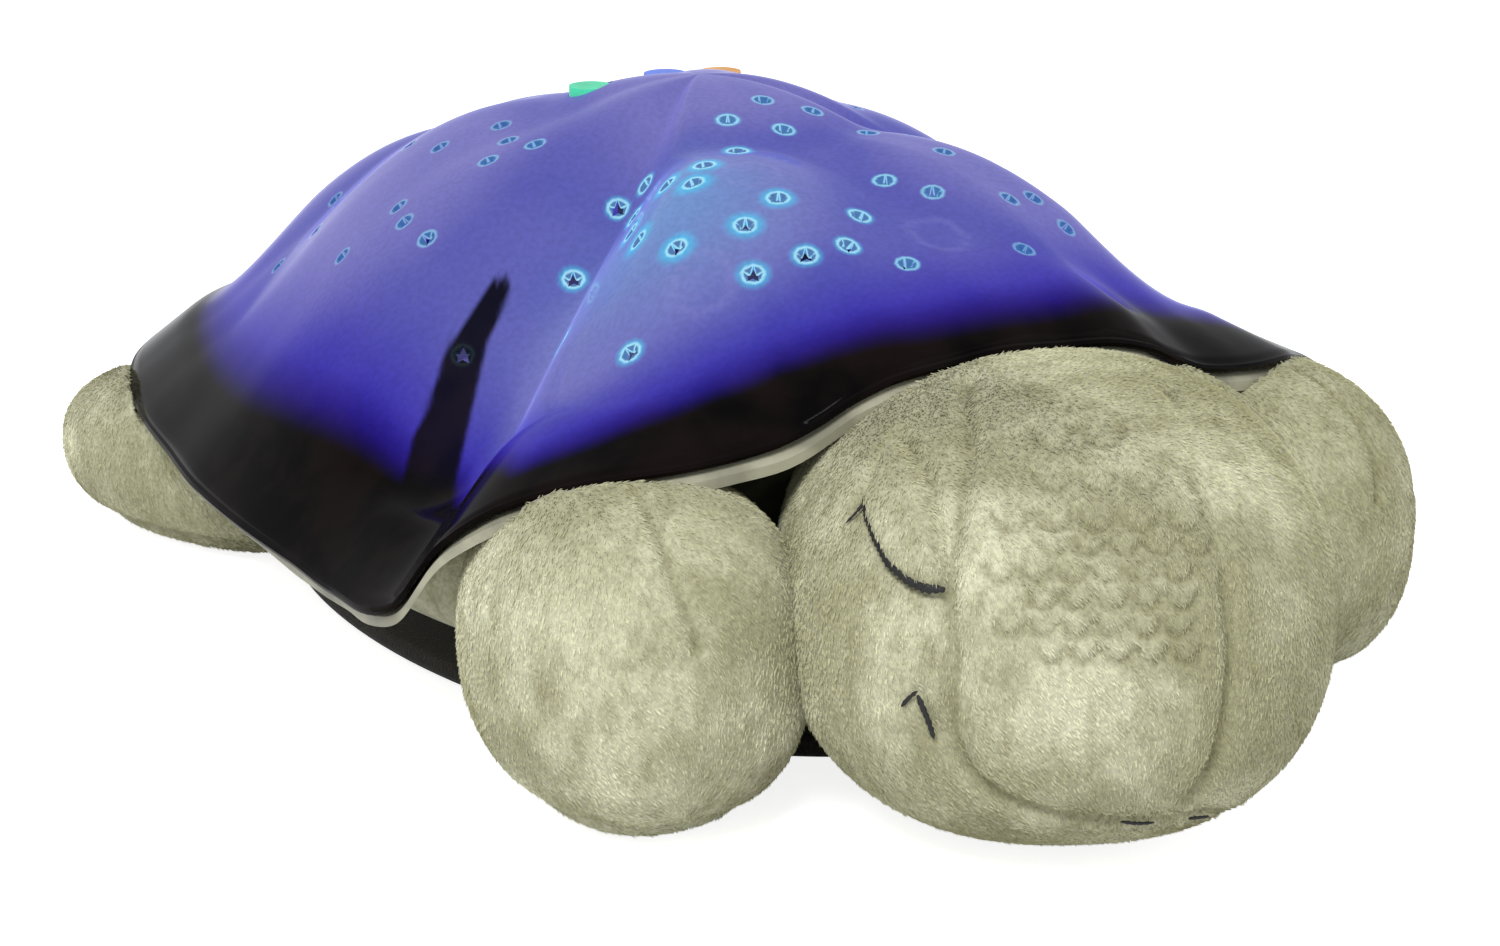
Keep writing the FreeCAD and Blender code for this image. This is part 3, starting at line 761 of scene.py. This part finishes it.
# %% Head relief
SEAM_NEAR = [(967, 377), (970, 450), (958, 520), (947, 587), (955, 657), (952, 735),
             (970, 775), (1000, 797)]
SEAM_FAR = [(1165, 385), (1195, 480), (1227, 589), (1234, 650), (1230, 700), (1217, 762),
            (1193, 797)]
SEAM_CHIN = [(1000, 797), (1050, 815), (1120, 822), (1193, 814), (1244, 800)]
EYELID_TOP = [(868, 490), (880, 455), (897, 430), (928, 475), (941, 521), (946, 572)]
LASH = [(865, 500), (869, 519), (876, 536), (890, 563), (910, 580), (928, 588), (946, 590)]
LASH_TICK = [(866, 503), (858, 514), (848, 524)]
NOSTRIL_TICK = [(903, 705), (911, 696), (919, 690)]
NOSTRIL = [(919, 694), (925, 708), (931, 723), (935, 737)]
MOUTH = [[(1120, 819), (1136, 821), (1153, 820)], [(1187, 816), (1197, 815), (1207, 814)],
         [(1242, 805), (1247, 803)]]
SCALE_ROWS = [(433, 1052, 1150, 52), (478, 1030, 1168, 46), (519, 1010, 1190, 44),
              (545, 1036, 1212, 36), (572, 1000, 1210, 36), (600, 1026, 1214, 35),
              (628, 1010, 1206, 34), (655, 1034, 1190, 34)]
SCALE_SAG = 0.62
head_points = shell_mm(coords(head))
lines = [cast(head, line) for line in (SEAM_NEAR, SEAM_FAR, SEAM_CHIN)]
seam_away = np.min([line_distance(head_points, line) for line in lines], 0)
eye_fold = cast(head, EYELID_TOP)
scales = []
for row, (v, u_low, u_high, width) in enumerate(SCALE_ROWS):
    u = u_low + (width / 2 if row % 2 else 0)
    while u < u_high:
        arc = [(u + width * 0.46 * math.sin(a), v + width * SCALE_SAG * (math.cos(a) - 0.6))
               for a in np.linspace(-1.2, 1.2, 7)]
        scales.append(cast(head, arc))
        u += width
scale_away = np.full(len(head_points), 9.0)
for arc in scales:
    near = np.abs(head_points - arc.mean(0)).max(1) < 12
    away = line_distance(head_points[near], arc)
    scale_away[near] = np.minimum(scale_away[near], away)
head_seen = to_pixel(head_points)
head_front = faces_camera(head)
lid = inside(head_seen, EYELID_TOP + LASH[::-1], 5.0) * head_front
lid_edge = line_distance(head_points, eye_fold)
lash_line = cast(head, LASH)
lash_away = line_distance(head_points, lash_line)
under_eye = valley(lash_away, 2.6) * (1 - lid)
nose_line = cast(head, NOSTRIL)
nose_away = line_distance(head_points, nose_line)
relief = 2.3 * valley(seam_away, 1.9) + 1.0 * valley(scale_away, 1.0)
relief += 1.7 * valley(lid_edge, 1.5) + 1.5 * under_eye + 1.1 * valley(nose_away, 2.0)
relief -= 2.4 * lid * smoothstep(0.2, 3.0, lid_edge)
stroke_lines = {"lash": (lash_line, 0.65, 1.45), "lash_tick": (cast(head, LASH_TICK), 0.4, 0.3),
                "nostril": (nose_line, 0.7, 0.6),
                "nostril_tick": (cast(head, NOSTRIL_TICK), 0.55, 0.4)}
for k, line in enumerate(MOUTH):
    stroke_lines["mouth_%d" % k] = (cast(head, line), 0.5, 0.45)


def mirrored(points):
    # The other side of the face: across the middle plane of the head.
    out = points - MIRROR_SPOT
    return out - 2 * (out @ MIRROR_NORMAL)[:, None] * MIRROR_NORMAL + MIRROR_SPOT


FACE_TURN = math.radians(8.0)
MIRROR_NORMAL = np.array([math.cos(FACE_TURN), math.sin(FACE_TURN), 0.0])
MIRROR_SPOT = np.array([HEAD[0], HEAD[1], 0.0])
head_tree = BVHTree.FromPolygons([v.co for v in head.data.vertices],
                                 [tuple(f.vertices) for f in head.data.polygons])


def far_copy(line):
    # A line of the near side of the face, mirrored and laid onto the far side.
    return shell_mm([tuple(head_tree.find_nearest(Vector(q))[0]) for q in place(mirrored(line))])


far_lash = line_distance(head_points, far_copy(lash_line))
far_lid_edge = line_distance(head_points, far_copy(eye_fold))
far_side = (head_points - MIRROR_SPOT) @ MIRROR_NORMAL > 0
far_lid = inside(to_pixel(mirrored(head_points)), EYELID_TOP + LASH[::-1], 5.0) * far_side
relief += 0.9 * valley(far_lid_edge, 1.3) + 1.3 * valley(far_lash, 2.6) * (1 - far_lid)
relief += 1.1 * valley(line_distance(head_points, far_copy(nose_line)), 2.0)
relief -= 1.5 * far_lid * smoothstep(0.2, 2.6, far_lid_edge)
far_lines = {name: far_copy(line) for name, (line, r0, r1) in stroke_lines.items()}
push(head, relief)
bare = np.clip(valley(seam_away, 0.8) + valley(lash_away, 1.0) + 0.35 * valley(scale_away, 0.8), 0, 1)
# painted shade: the seams, scale grooves and lash groove are coloured darker
set_attribute(head, "painted_seam_shade", np.clip(valley(seam_away, 1.2) + 0.8 * valley(scale_away, 0.9)
                                    + valley(lash_away, 1.6), 0, 1))
set_attribute(head, "fur", 1 - bare)
print("scales:", len(scales), "head relief up to %.1f mm" % relief.max())

# %% Leg seams and soles
LEG_SEAM = [(634, 488), (652, 520), (668, 560), (684, 604), (699, 646)]
LEG_SCALES = [[(557, 655), (566, 672), (582, 676), (592, 660)],
              [(600, 652), (612, 668), (640, 668), (652, 652)],
              [(668, 650), (680, 662), (694, 660), (699, 646)]]
SOLE_LEVEL = 7.0
leg_lines = [cast(legs["front_leg_right"], line) for line in [LEG_SEAM] + LEG_SCALES]
for name, leg in legs.items():
    side = 1 if name.endswith("right") else -1
    p = shell_mm(coords(leg))
    away = np.full(len(p), 9.0)
    if name.startswith("front"):
        away = line_distance(p * (side, 1, 1), leg_lines[0])
        cup = np.min([line_distance(p * (side, 1, 1), line) for line in leg_lines[1:]], 0)
    else:
        t = math.radians(-side * REAR_LEG[4])
        q = (p[:, 0] + side * REAR_LEG[0]) * math.cos(t) + (p[:, 1] - REAR_LEG[1]) * math.sin(t)
        away = np.abs(q) + 3 * smoothstep(14, 6, p[:, 2])
        cup = np.full(len(p), 9.0)
    sole = np.abs(p[:, 2] - SOLE_LEVEL)
    push(leg, 1.7 * valley(away, 1.8) + 0.5 * valley(cup, 1.1) + 1.4 * valley(sole, 1.6))
    # painted shade: the leg's seam, sole line and scale cups are coloured darker
    set_attribute(leg, "painted_seam_shade", np.clip(valley(away, 1.2) + valley(sole, 1.2) + 0.4 * valley(cup, 1), 0, 1))
    set_attribute(leg, "fur", 1 - np.clip(valley(away, 0.8) + valley(sole, 0.8), 0, 1))
print("leg pieces:", list(legs))

# %% [markdown]
# ## Embroidered lines
# Lash lines, nostrils and mouth are twisted black thread that lies on the plush.

# %% Threads of the face


def thread(line, radius_from, radius_to, lift=0.7, twist=2.2):
    # A two-ply thread along a line: a tube whose section turns as it runs.
    line = np.asarray(line)
    steps = max(8, int(np.linalg.norm(np.diff(line, axis=0), axis=1).sum() / 0.5))
    run = np.concatenate([[0], np.cumsum(np.linalg.norm(np.diff(line, axis=0), axis=1))])
    at = np.linspace(0, run[-1], steps)
    path = np.stack([np.interp(at, run, line[:, k]) for k in range(3)], 1)
    for k in range(3):
        path[1:-1] = (path[:-2] + 2 * path[1:-1] + path[2:]) / 4
    outward = path - np.array([HEAD[0], HEAD[1], (HEAD[5] + HEAD[6]) / 2])
    outward /= np.linalg.norm(outward, axis=1)[:, None]
    along = np.gradient(path, axis=0)
    along /= np.linalg.norm(along, axis=1)[:, None]
    across = np.cross(along, outward)
    around = 10
    verts, faces = [], []
    for i in range(steps):
        t = i / (steps - 1)
        radius = (radius_from + (radius_to - radius_from) * t) * min(1, 0.35 + 6 * min(t, 1 - t))
        for k in range(around):
            a = 2 * math.pi * k / around
            r = radius * (0.86 + 0.22 * math.cos(2 * (a - at[i] * twist)))
            verts.append(path[i] + outward[i] * (lift + r * math.sin(a) * 0.7)
                         + across[i] * r * math.cos(a))
    for i in range(steps - 1):
        for k in range(around):
            n = (k + 1) % around
            faces.append((i * around + k, i * around + n, (i + 1) * around + n,
                          (i + 1) * around + k))
    faces.append(tuple(range(around))[::-1])
    faces.append(tuple((steps - 1) * around + k for k in range(around)))
    return verts, faces


thread_verts, thread_faces = [], []
for name, (line, r0, r1) in stroke_lines.items():
    copies = [line] if name.startswith("mouth") else [line, far_lines[name]]
    for copy in copies:
        v, f = thread(copy, r0, r1)
        thread_faces += [[i + len(thread_verts) for i in face] for face in f]
        thread_verts += [tuple(q) for q in v]
stitches = mesh_object("face_stitches", place(thread_verts), thread_faces)
thread_material, kit, shader = new_material("black_thread")
fibre = kit.noise(kit.here(), 2600.0, 2.0)
kit.feed(shader, {"Base Color": kit.mix(fibre, linear(12, 12, 14), linear(40, 38, 40)),
                  "Roughness": 0.6})
bump(kit, shader, fibre, 0.4, 0.0003)
stitches.data.materials.append(thread_material)
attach(stitches, "turtle")
print("face stitches:", len(stitches.data.polygons), "faces")

# %% [markdown]
# ## Plush cloth
# Sage velour, clouded from light to dark and streaked along the pile, with painted
# shade darkening the seams and grooves and the roots of the blades. The cloth
# below is the darker ground; the pile itself is made of short leaning blades.

# %% Plush material and pile


def sage_group():
    tree = bpy.data.node_groups.new("sage_colour_and_seam_shade", "ShaderNodeTree")
    tree.interface.new_socket("Colour", in_out="OUTPUT", socket_type="NodeSocketColor")
    kit = Nodes(tree)
    here = kit.here()
    cloud = kit.noise(here, 26.0, 4.0, 0.62)
    wide = kit.noise(here, 9.0, 2.0)
    drawn = kit.add("ShaderNodeMapping", {"Vector": here, "Scale": (1.0, 1.0, 0.35)}).outputs[0]
    streak = kit.noise(drawn, 210.0, 3.0, 0.65)
    colour = kit.mix(kit.ramp(cloud, 0.36, 0.64), linear(176, 174, 140), linear(222, 221, 192))
    colour = kit.mix(kit.ramp(wide, 0.4, 0.62, 0.0, 0.35), colour, linear(166, 164, 124))
    colour = kit.mix(kit.ramp(streak, 0.42, 0.72, 0.0, 0.5), colour, linear(156, 152, 114))
    # painted shade: darker colour in the seams and grooves
    colour = kit.mix(kit.math("MULTIPLY", kit.attribute("painted_seam_shade"), 0.55), colour,
                     linear(132, 128, 88))
    out = kit.add("NodeGroupOutput")
    tree.links.new(colour, out.inputs["Colour"])
    return tree


sage = sage_group()


def plush_material(name, pile):
    material, kit, shader = new_material(name)
    here = kit.here()
    group = kit.add("ShaderNodeGroup")
    group.node_tree = sage
    if pile:
        # painted shade: each blade is darker at its root and lighter at its tip; fleck is a random tone
        fleck = kit.ramp(kit.noise(here, 1100.0, 2.0), 0.3, 0.7, 0.82, 1.18)
        shade = kit.math("MULTIPLY", kit.ramp(kit.attribute("tip"), 0.0, 1.0, 0.92, 1.12), fleck)
    else:
        shade = kit.ramp(kit.noise(here, 800.0, 3.0), 0.3, 0.7, 0.75, 1.0)
    grey = kit.add("ShaderNodeCombineColor", {0: shade, 1: shade, 2: shade}).outputs[0]
    kit.feed(shader, {"Base Color": kit.mix(1.0, group.outputs[0], grey, "MULTIPLY")})
    kit.feed(shader, {"Roughness": 0.85, "Specular IOR Level": 0.25, "Sheen Weight": 0.3,
                      "Sheen Roughness": 0.45})
    if not pile:
        bump(kit, shader, kit.noise(here, 900.0, 3.0, 0.7), 0.5, 0.001)
    return material


plush = plush_material("sage_plush", False)
pile = plush_material("sage_pile", True)
BLADE_LENGTH, BLADE_WIDTH = 1.25, 0.25
SEED = 7


def pile_tree():
    # Scatters short leaning blades over a piece, fewer in its seams.
    tree = bpy.data.node_groups.new("plush_pile", "GeometryNodeTree")
    face = tree.interface
    face.new_socket("Geometry", in_out="INPUT", socket_type="NodeSocketGeometry")
    for label, value in (("Density", 1.0e6), ("Length", BLADE_LENGTH * MM),
                         ("Width", BLADE_WIDTH * MM), ("Lean", 1.0)):
        face.new_socket(label, in_out="INPUT", socket_type="NodeSocketFloat").default_value = value
    face.new_socket("Seed", in_out="INPUT", socket_type="NodeSocketInt")
    face.new_socket("Material", in_out="INPUT", socket_type="NodeSocketMaterial")
    face.new_socket("Geometry", in_out="OUTPUT", socket_type="NodeSocketGeometry")
    kit = Nodes(tree)
    given = kit.add("NodeGroupInput").outputs
    fur = kit.add("GeometryNodeInputNamedAttribute", {"Name": "fur"}).outputs["Attribute"]
    flow = kit.add("GeometryNodeInputNamedAttribute", {"Name": "flow"}, data_type="FLOAT_VECTOR")
    density = kit.math("MULTIPLY", fur, given["Density"])
    spread = kit.add("GeometryNodeDistributePointsOnFaces", {
        "Mesh": given["Geometry"], "Density": density, "Seed": given["Seed"]})
    cone = kit.add("GeometryNodeMeshCone", {
        "Vertices": 3, "Radius Top": 0.0, "Radius Bottom": given["Width"],
        "Depth": given["Length"]}, fill_type="NGON")
    height = kit.add("ShaderNodeSeparateXYZ", {
        0: kit.add("GeometryNodeInputPosition").outputs[0]}).outputs["Z"]
    tip = kit.math("DIVIDE", height, given["Length"])
    named = kit.add("GeometryNodeStoreNamedAttribute", {
        "Geometry": cone.outputs["Mesh"], "Name": "tip", "Value": tip}, data_type="FLOAT",
        domain="POINT")

    def vector(operation, a, b):
        return kit.add("ShaderNodeVectorMath", {0: a, 1: b}, operation=operation).outputs[0]

    stray = kit.add("FunctionNodeRandomValue", {0: (-0.25, -0.25, -0.25), 1: (0.25, 0.25, 0.25),
                                                "Seed": given["Seed"]}, data_type="FLOAT_VECTOR")
    lean = kit.add("ShaderNodeVectorMath", {0: flow.outputs["Attribute"], "Scale": given["Lean"]},
                   operation="SCALE").outputs[0]
    upright = vector("MULTIPLY", spread.outputs["Normal"], (0.36, 0.36, 0.36))
    aim = vector("ADD", vector("ADD", upright, lean), stray.outputs[0])
    turn = kit.add("FunctionNodeAlignRotationToVector", {"Vector": aim}, axis="Z")
    size = kit.add("FunctionNodeRandomValue", {2: 0.7, 3: 1.2, "Seed": given["Seed"]},
                   data_type="FLOAT")
    blades = kit.add("GeometryNodeInstanceOnPoints", {
        "Points": spread.outputs["Points"], "Instance": named.outputs[0],
        "Rotation": turn.outputs[0], "Scale": size.outputs[1]})
    real = kit.add("GeometryNodeRealizeInstances", {"Geometry": blades.outputs[0]})
    dressed = kit.add("GeometryNodeSetMaterial", {"Geometry": real.outputs[0],
                                                  "Material": given["Material"]})
    out = kit.add("NodeGroupOutput")
    tree.links.new(dressed.outputs[0], out.inputs["Geometry"])
    return tree


pile_nodes = pile_tree()


def grow_pile(obj, name, density, seed, flow):
    # A piece of plain mesh: the blades that grow on obj, hidden places left bare.
    n = normals(obj)
    down = np.asarray(flow(shell_mm(coords(obj))), float)
    down -= (down * n).sum(1)[:, None] * n
    down /= np.maximum(np.linalg.norm(down, axis=1), 0.2)[:, None]
    base = linked(name, obj.data.copy())
    set_attribute(base, "flow", down)
    modifier = base.modifiers.new("pile", "NODES")
    modifier.node_group = pile_nodes
    for item in pile_nodes.interface.items_tree:
        if item.in_out == "INPUT" and item.name in ("Density", "Seed", "Material"):
            modifier[item.identifier] = {"Density": density, "Seed": seed,
                                         "Material": pile}[item.name]
    apply_modifiers(base)
    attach(base, "turtle")
    print(name, len(base.data.polygons) // 4, "blades")
    return base


def shown(obj, low=1.5):
    # No pile where the piece rests on the floor or touches the tray.
    p = shell_mm(coords(obj))
    roof, share = tray_under(p[:, 0], p[:, 1])
    free = smoothstep(low, low + 2, p[:, 2])
    return free * np.where(share < 1, smoothstep(0.9, 3.0, roof - p[:, 2]), 1)


def combed(p):
    # The pile runs down and forwards, a little wavy.
    wave = 0.35 * np.sin(p[:, 0] / 9.0 + 1.3 * np.sin(p[:, 2] / 13.0))
    return np.stack([wave, np.full(len(p), -1.0), np.full(len(p), -1.0)], 1)


SAGE_PIECES = [(body, "plush_body"), (head, "plush_head"), (tail, "plush_tail")]
SAGE_PIECES += [(legs[name], name) for name in legs]
for obj, node in SAGE_PIECES:
    obj.data.materials.append(plush)
    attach(obj, "turtle")
    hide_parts(node)

for name in ("painted_seam_shade", "fur"):
    for obj in (body, tail):
        set_attribute(obj, name, np.full(len(obj.data.vertices), float(name == "fur")))
share_of_pile = 1.0
density = {"plush_head": 1.0e6, "plush_tail": 1.0e6, "plush_body": 0.0}
for obj, node in SAGE_PIECES:
    kept = np.empty(len(obj.data.vertices))
    obj.data.attributes["fur"].data.foreach_get("value", kept)
    set_attribute(obj, "fur", kept * shown(obj))
    per_area = density.get(node, 1.5e6) * share_of_pile
    rounds = {"plush_head": 2, "plush_body": 0}.get(node, 1)
    for k in range(rounds):
        grow_pile(obj, "%s_pile_%d" % (node, k), per_area, SEED + k, combed)

# %% [markdown]
# ## Belly
# A cloth panel closes the belly; it and its flap are coloured a dark grey brown.
# Its window shows the battery door, under a padded flap that hangs on its rear hem.

# %% Belly panel, window and flap
BELLY_HALF, BELLY_Y = (96.0, 146.0), 65.0
WINDOW_HALF, WINDOW_Y, WINDOW_TOP = (26.0, 36.0), 60.0, 11.0
BOX_SPACE = (21.4, 31.4)
FLAP = (25.2, 24.9, 95.7, 0.4, 8.0)     # half width, front, rear, bottom and top


def block_cutter(half_x, half_y, middle_y, low, high):
    corners = [(sx * half_x, middle_y + sy * half_y, z) for z in (low, high)
               for sx, sy in ((-1, -1), (1, -1), (1, 1), (-1, 1))]
    sides = [(0, 1, 5, 4), (1, 2, 6, 5), (2, 3, 7, 6), (3, 0, 4, 7), (3, 2, 1, 0), (4, 5, 6, 7)]
    return mesh_object("block_cutter", place(corners), sides, smooth=False)


for half_x, half_y, high in (WINDOW_HALF + (WINDOW_TOP,), BOX_SPACE + (60.0,)):
    cutter = block_cutter(half_x, half_y, WINDOW_Y, -2.0, high)
    cut = body.modifiers.new("window", "BOOLEAN")
    cut.object, cut.operation, cut.solver = cutter, "DIFFERENCE", "MANIFOLD"
    apply_modifiers(body)
    bpy.data.objects.remove(cutter)
body.data.materials.clear()
body.data.materials.append(plush)

panel_verts, panel_faces = [], []
AROUND = 144
section = [(0.0, 5.2), (0.03, 5.7), (0.3, 5.9), (0.7, 5.9), (0.985, 5.4), (1.0, 3.0),
           (0.985, 0.6), (0.7, 0.12), (0.3, 0.12), (0.03, 0.2), (0.0, 0.8)]
for k in range(AROUND):
    a = 2 * math.pi * k / AROUND
    c, n = math.cos(a), math.sin(a)
    outer = np.array([BELLY_HALF[0] * c, BELLY_Y + BELLY_HALF[1] * n])
    reach = 1 / (abs(c / WINDOW_HALF[0]) ** 14 + abs(n / WINDOW_HALF[1]) ** 14) ** (1 / 14)
    inner = np.array([reach * c, WINDOW_Y + reach * n])
    for out_share, z in section:
        xy = inner + (outer - inner) * out_share
        panel_verts.append((xy[0], xy[1], z))
rows = len(section)
for k in range(AROUND):
    n = (k + 1) % AROUND
    for j in range(rows):
        m = (j + 1) % rows
        panel_faces.append((k * rows + j, n * rows + j, n * rows + m, k * rows + m))
panel = mesh_object("belly_panel_cloth", place(panel_verts), panel_faces)
flap = ball("belly_flap_pad", 5)
d = coords(flap)
d /= (np.abs(d) ** 7.0).sum(1)[:, None] ** (1 / 7.0)
half = (FLAP[0], (FLAP[2] - FLAP[1]) / 2, (FLAP[4] - FLAP[3]) / 2)
p = d * half
puffed = (1 - np.clip(np.abs(p[:, 0]) / half[0], 0, 1) ** 4) * (
    1 - np.clip(np.abs(p[:, 1]) / half[1], 0, 1) ** 4)
p[:, 2] *= 0.55 + 0.45 * puffed
p += (0, (FLAP[1] + FLAP[2]) / 2, (FLAP[3] + FLAP[4]) / 2)
set_coords(flap, place(p))
belly_material, kit, shader = new_material("belly_dark_grey_brown")
weave = kit.add("ShaderNodeTexVoronoi", {"Vector": kit.here(), "Scale": 1500.0}).outputs[0]
kit.feed(shader, {"Base Color": kit.mix(weave, linear(34, 32, 30), linear(62, 58, 52))})
kit.feed(shader, {"Roughness": 0.9, "Sheen Weight": 0.2})
bump(kit, shader, weave, 0.5, 0.0004)
for obj, node, ridden in ((panel, "belly_panel", "turtle"), (flap, "belly_flap", "belly_flap")):
    obj.data.materials.append(belly_material)
    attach(obj, ridden)
    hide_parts(node)
print("belly panel and flap made")

# %% [markdown]
# ## Moulded and metal parts
# The CAD nodes keep their shapes. Each gets a material with its own colour, a
# faint mottling, a moulded grain and its roughness. The lamps glow; the buttons,
# which are no lamps, get a painted glow.

# %% Materials of the CAD nodes
FINISHES = [      # colour, roughness, metal, then the CAD nodes that have them
    ((172, 170, 148), 0.34, 0.0, "shell_tray"),
    ((188, 190, 180), 0.4, 0.0, "shell_posts board_bosses"),
    ((176, 178, 182), 0.3, 1.0, "shell_screws battery_door_screw"),
    ((232, 232, 228), 0.5, 0.0, "light_reflector"),
    ((224, 224, 218), 0.45, 0.0, "lamp_pedestal"),
    ((34, 92, 56), 0.45, 0.0, "lamp_board button_board"),
    ((22, 22, 24), 0.4, 0.0, "control_chip"),
    ((70, 120, 235), 0.15, 0.0, "lamp_blue"),
    ((70, 215, 130), 0.15, 0.0, "lamp_green"),
    ((240, 170, 60), 0.15, 0.0, "lamp_amber"),
    ((190, 192, 196), 0.5, 0.0, "button_ribbon"),
    ((30, 30, 32), 0.4, 0.0, "button_switches"),
    ((60, 196, 150), 0.28, 0.0, "button_green"),
    ((84, 120, 226), 0.28, 0.0, "button_blue"),
    ((226, 160, 70), 0.28, 0.0, "button_amber"),
    ((150, 152, 176), 0.28, 0.0, "button_power"),
    ((52, 52, 54), 0.45, 0.0, "battery_box battery_riser"),
    ((150, 120, 60), 0.35, 0.0, "battery_cells"),
    ((190, 192, 196), 0.25, 1.0, "battery_springs"),
    ((196, 190, 170), 0.25, 1.0, "battery_contacts"),
    ((170, 40, 34), 0.45, 0.0, "lamp_wires"),
    ((44, 44, 46), 0.42, 0.0, "battery_door"),
    ((66, 66, 66), 0.6, 0.0, "sewing_ring"),
]
# the lamp_ parts are lamps; the buttons are no lamps, and their glow is painted light
GLOW = {"button_green": 0.5, "button_blue": 0.4, "button_amber": 0.3, "lamp_blue": 1.5,
        "lamp_green": 1.0, "lamp_amber": 1.0}
for colour, rough, metal, names in FINISHES:
    for node in names.split():
        material, kit, shader = new_material(node + "_finish")
        here = kit.here()
        base, worn = linear(*colour), linear(*[c * 0.82 for c in colour])
        mottle = kit.ramp(kit.noise(here, 90.0, 3.0), 0.35, 0.65)
        uneven = kit.ramp(kit.noise(here, 240.0, 2.0), 0.3, 0.7, rough * 0.85, rough * 1.15)
        kit.feed(shader, {"Base Color": kit.mix(mottle, worn, base), "Roughness": uneven,
                          "Metallic": metal})
        # painted glow on the buttons; the lamps glow as lamps
        if node in GLOW:
            kit.feed(shader, {"Emission Color": base, "Emission Strength": GLOW[node]})
        bump(kit, shader, kit.noise(here, 1600.0, 2.0), 0.06, 0.0002)
        for material_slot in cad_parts[node].material_slots:
            material_slot.material = material
print("finishes:", len(FINISHES))

# %% [markdown]
# ## Floor and light
# White paper under and behind the toy, and large soft lights.

# %% Stage
FLOOR_HALF, FLOOR_GLOW = 6.0, 0.84
floor = mesh_object("floor", [(x * FLOOR_HALF, y * FLOOR_HALF, 0) for x, y in
                              ((-1, -1), (1, -1), (1, 1), (-1, 1))], [(0, 1, 2, 3)], False)
floor_material, kit, shader = new_material("floor_white")
kit.feed(shader, {"Base Color": (0.9, 0.9, 0.9, 1), "Roughness": 0.9, "Specular IOR Level": 0.0,
                  "Emission Color": (1, 1, 1, 1)})
seen = kit.add("ShaderNodeLightPath").outputs["Is Camera Ray"]
kit.feed(shader, {"Emission Strength": kit.math("MULTIPLY", seen, FLOOR_GLOW)})
floor.data.materials.append(floor_material)

world = bpy.data.worlds.new("studio")
bpy.context.scene.world = world
world.use_nodes = True
wt = world.node_tree
for node in list(wt.nodes):
    wt.nodes.remove(node)
wk = Nodes(wt)
path = wk.add("ShaderNodeLightPath")
soft = wk.add("ShaderNodeBackground", {"Color": (0.95, 0.97, 1.0, 1), "Strength": 0.5})
white = wk.add("ShaderNodeBackground", {"Color": (1, 1, 1, 1), "Strength": 1.0})
mixer = wk.add("ShaderNodeMixShader", {0: path.outputs["Is Camera Ray"],
                                       1: soft.outputs[0], 2: white.outputs[0]})
out = wk.add("ShaderNodeOutputWorld")
wt.links.new(mixer.outputs[0], out.inputs[0])


def area(name, spot, target, size, power, colour=(1, 1, 1)):
    data = bpy.data.lights.new(name, "AREA")
    data.shape, data.size, data.energy, data.color = "SQUARE", size, power, colour
    light = linked(name, data)
    light.location = spot
    light.rotation_euler = (Vector(target) - Vector(spot)).to_track_quat("-Z", "Y").to_euler()
    return light


area("key", (-1.05, -1.0, 1.7), (0, -0.05, 0.05), 0.9, 34)
area("fill", (1.3, -0.8, 0.9), (0, 0, 0.05), 1.2, 2)
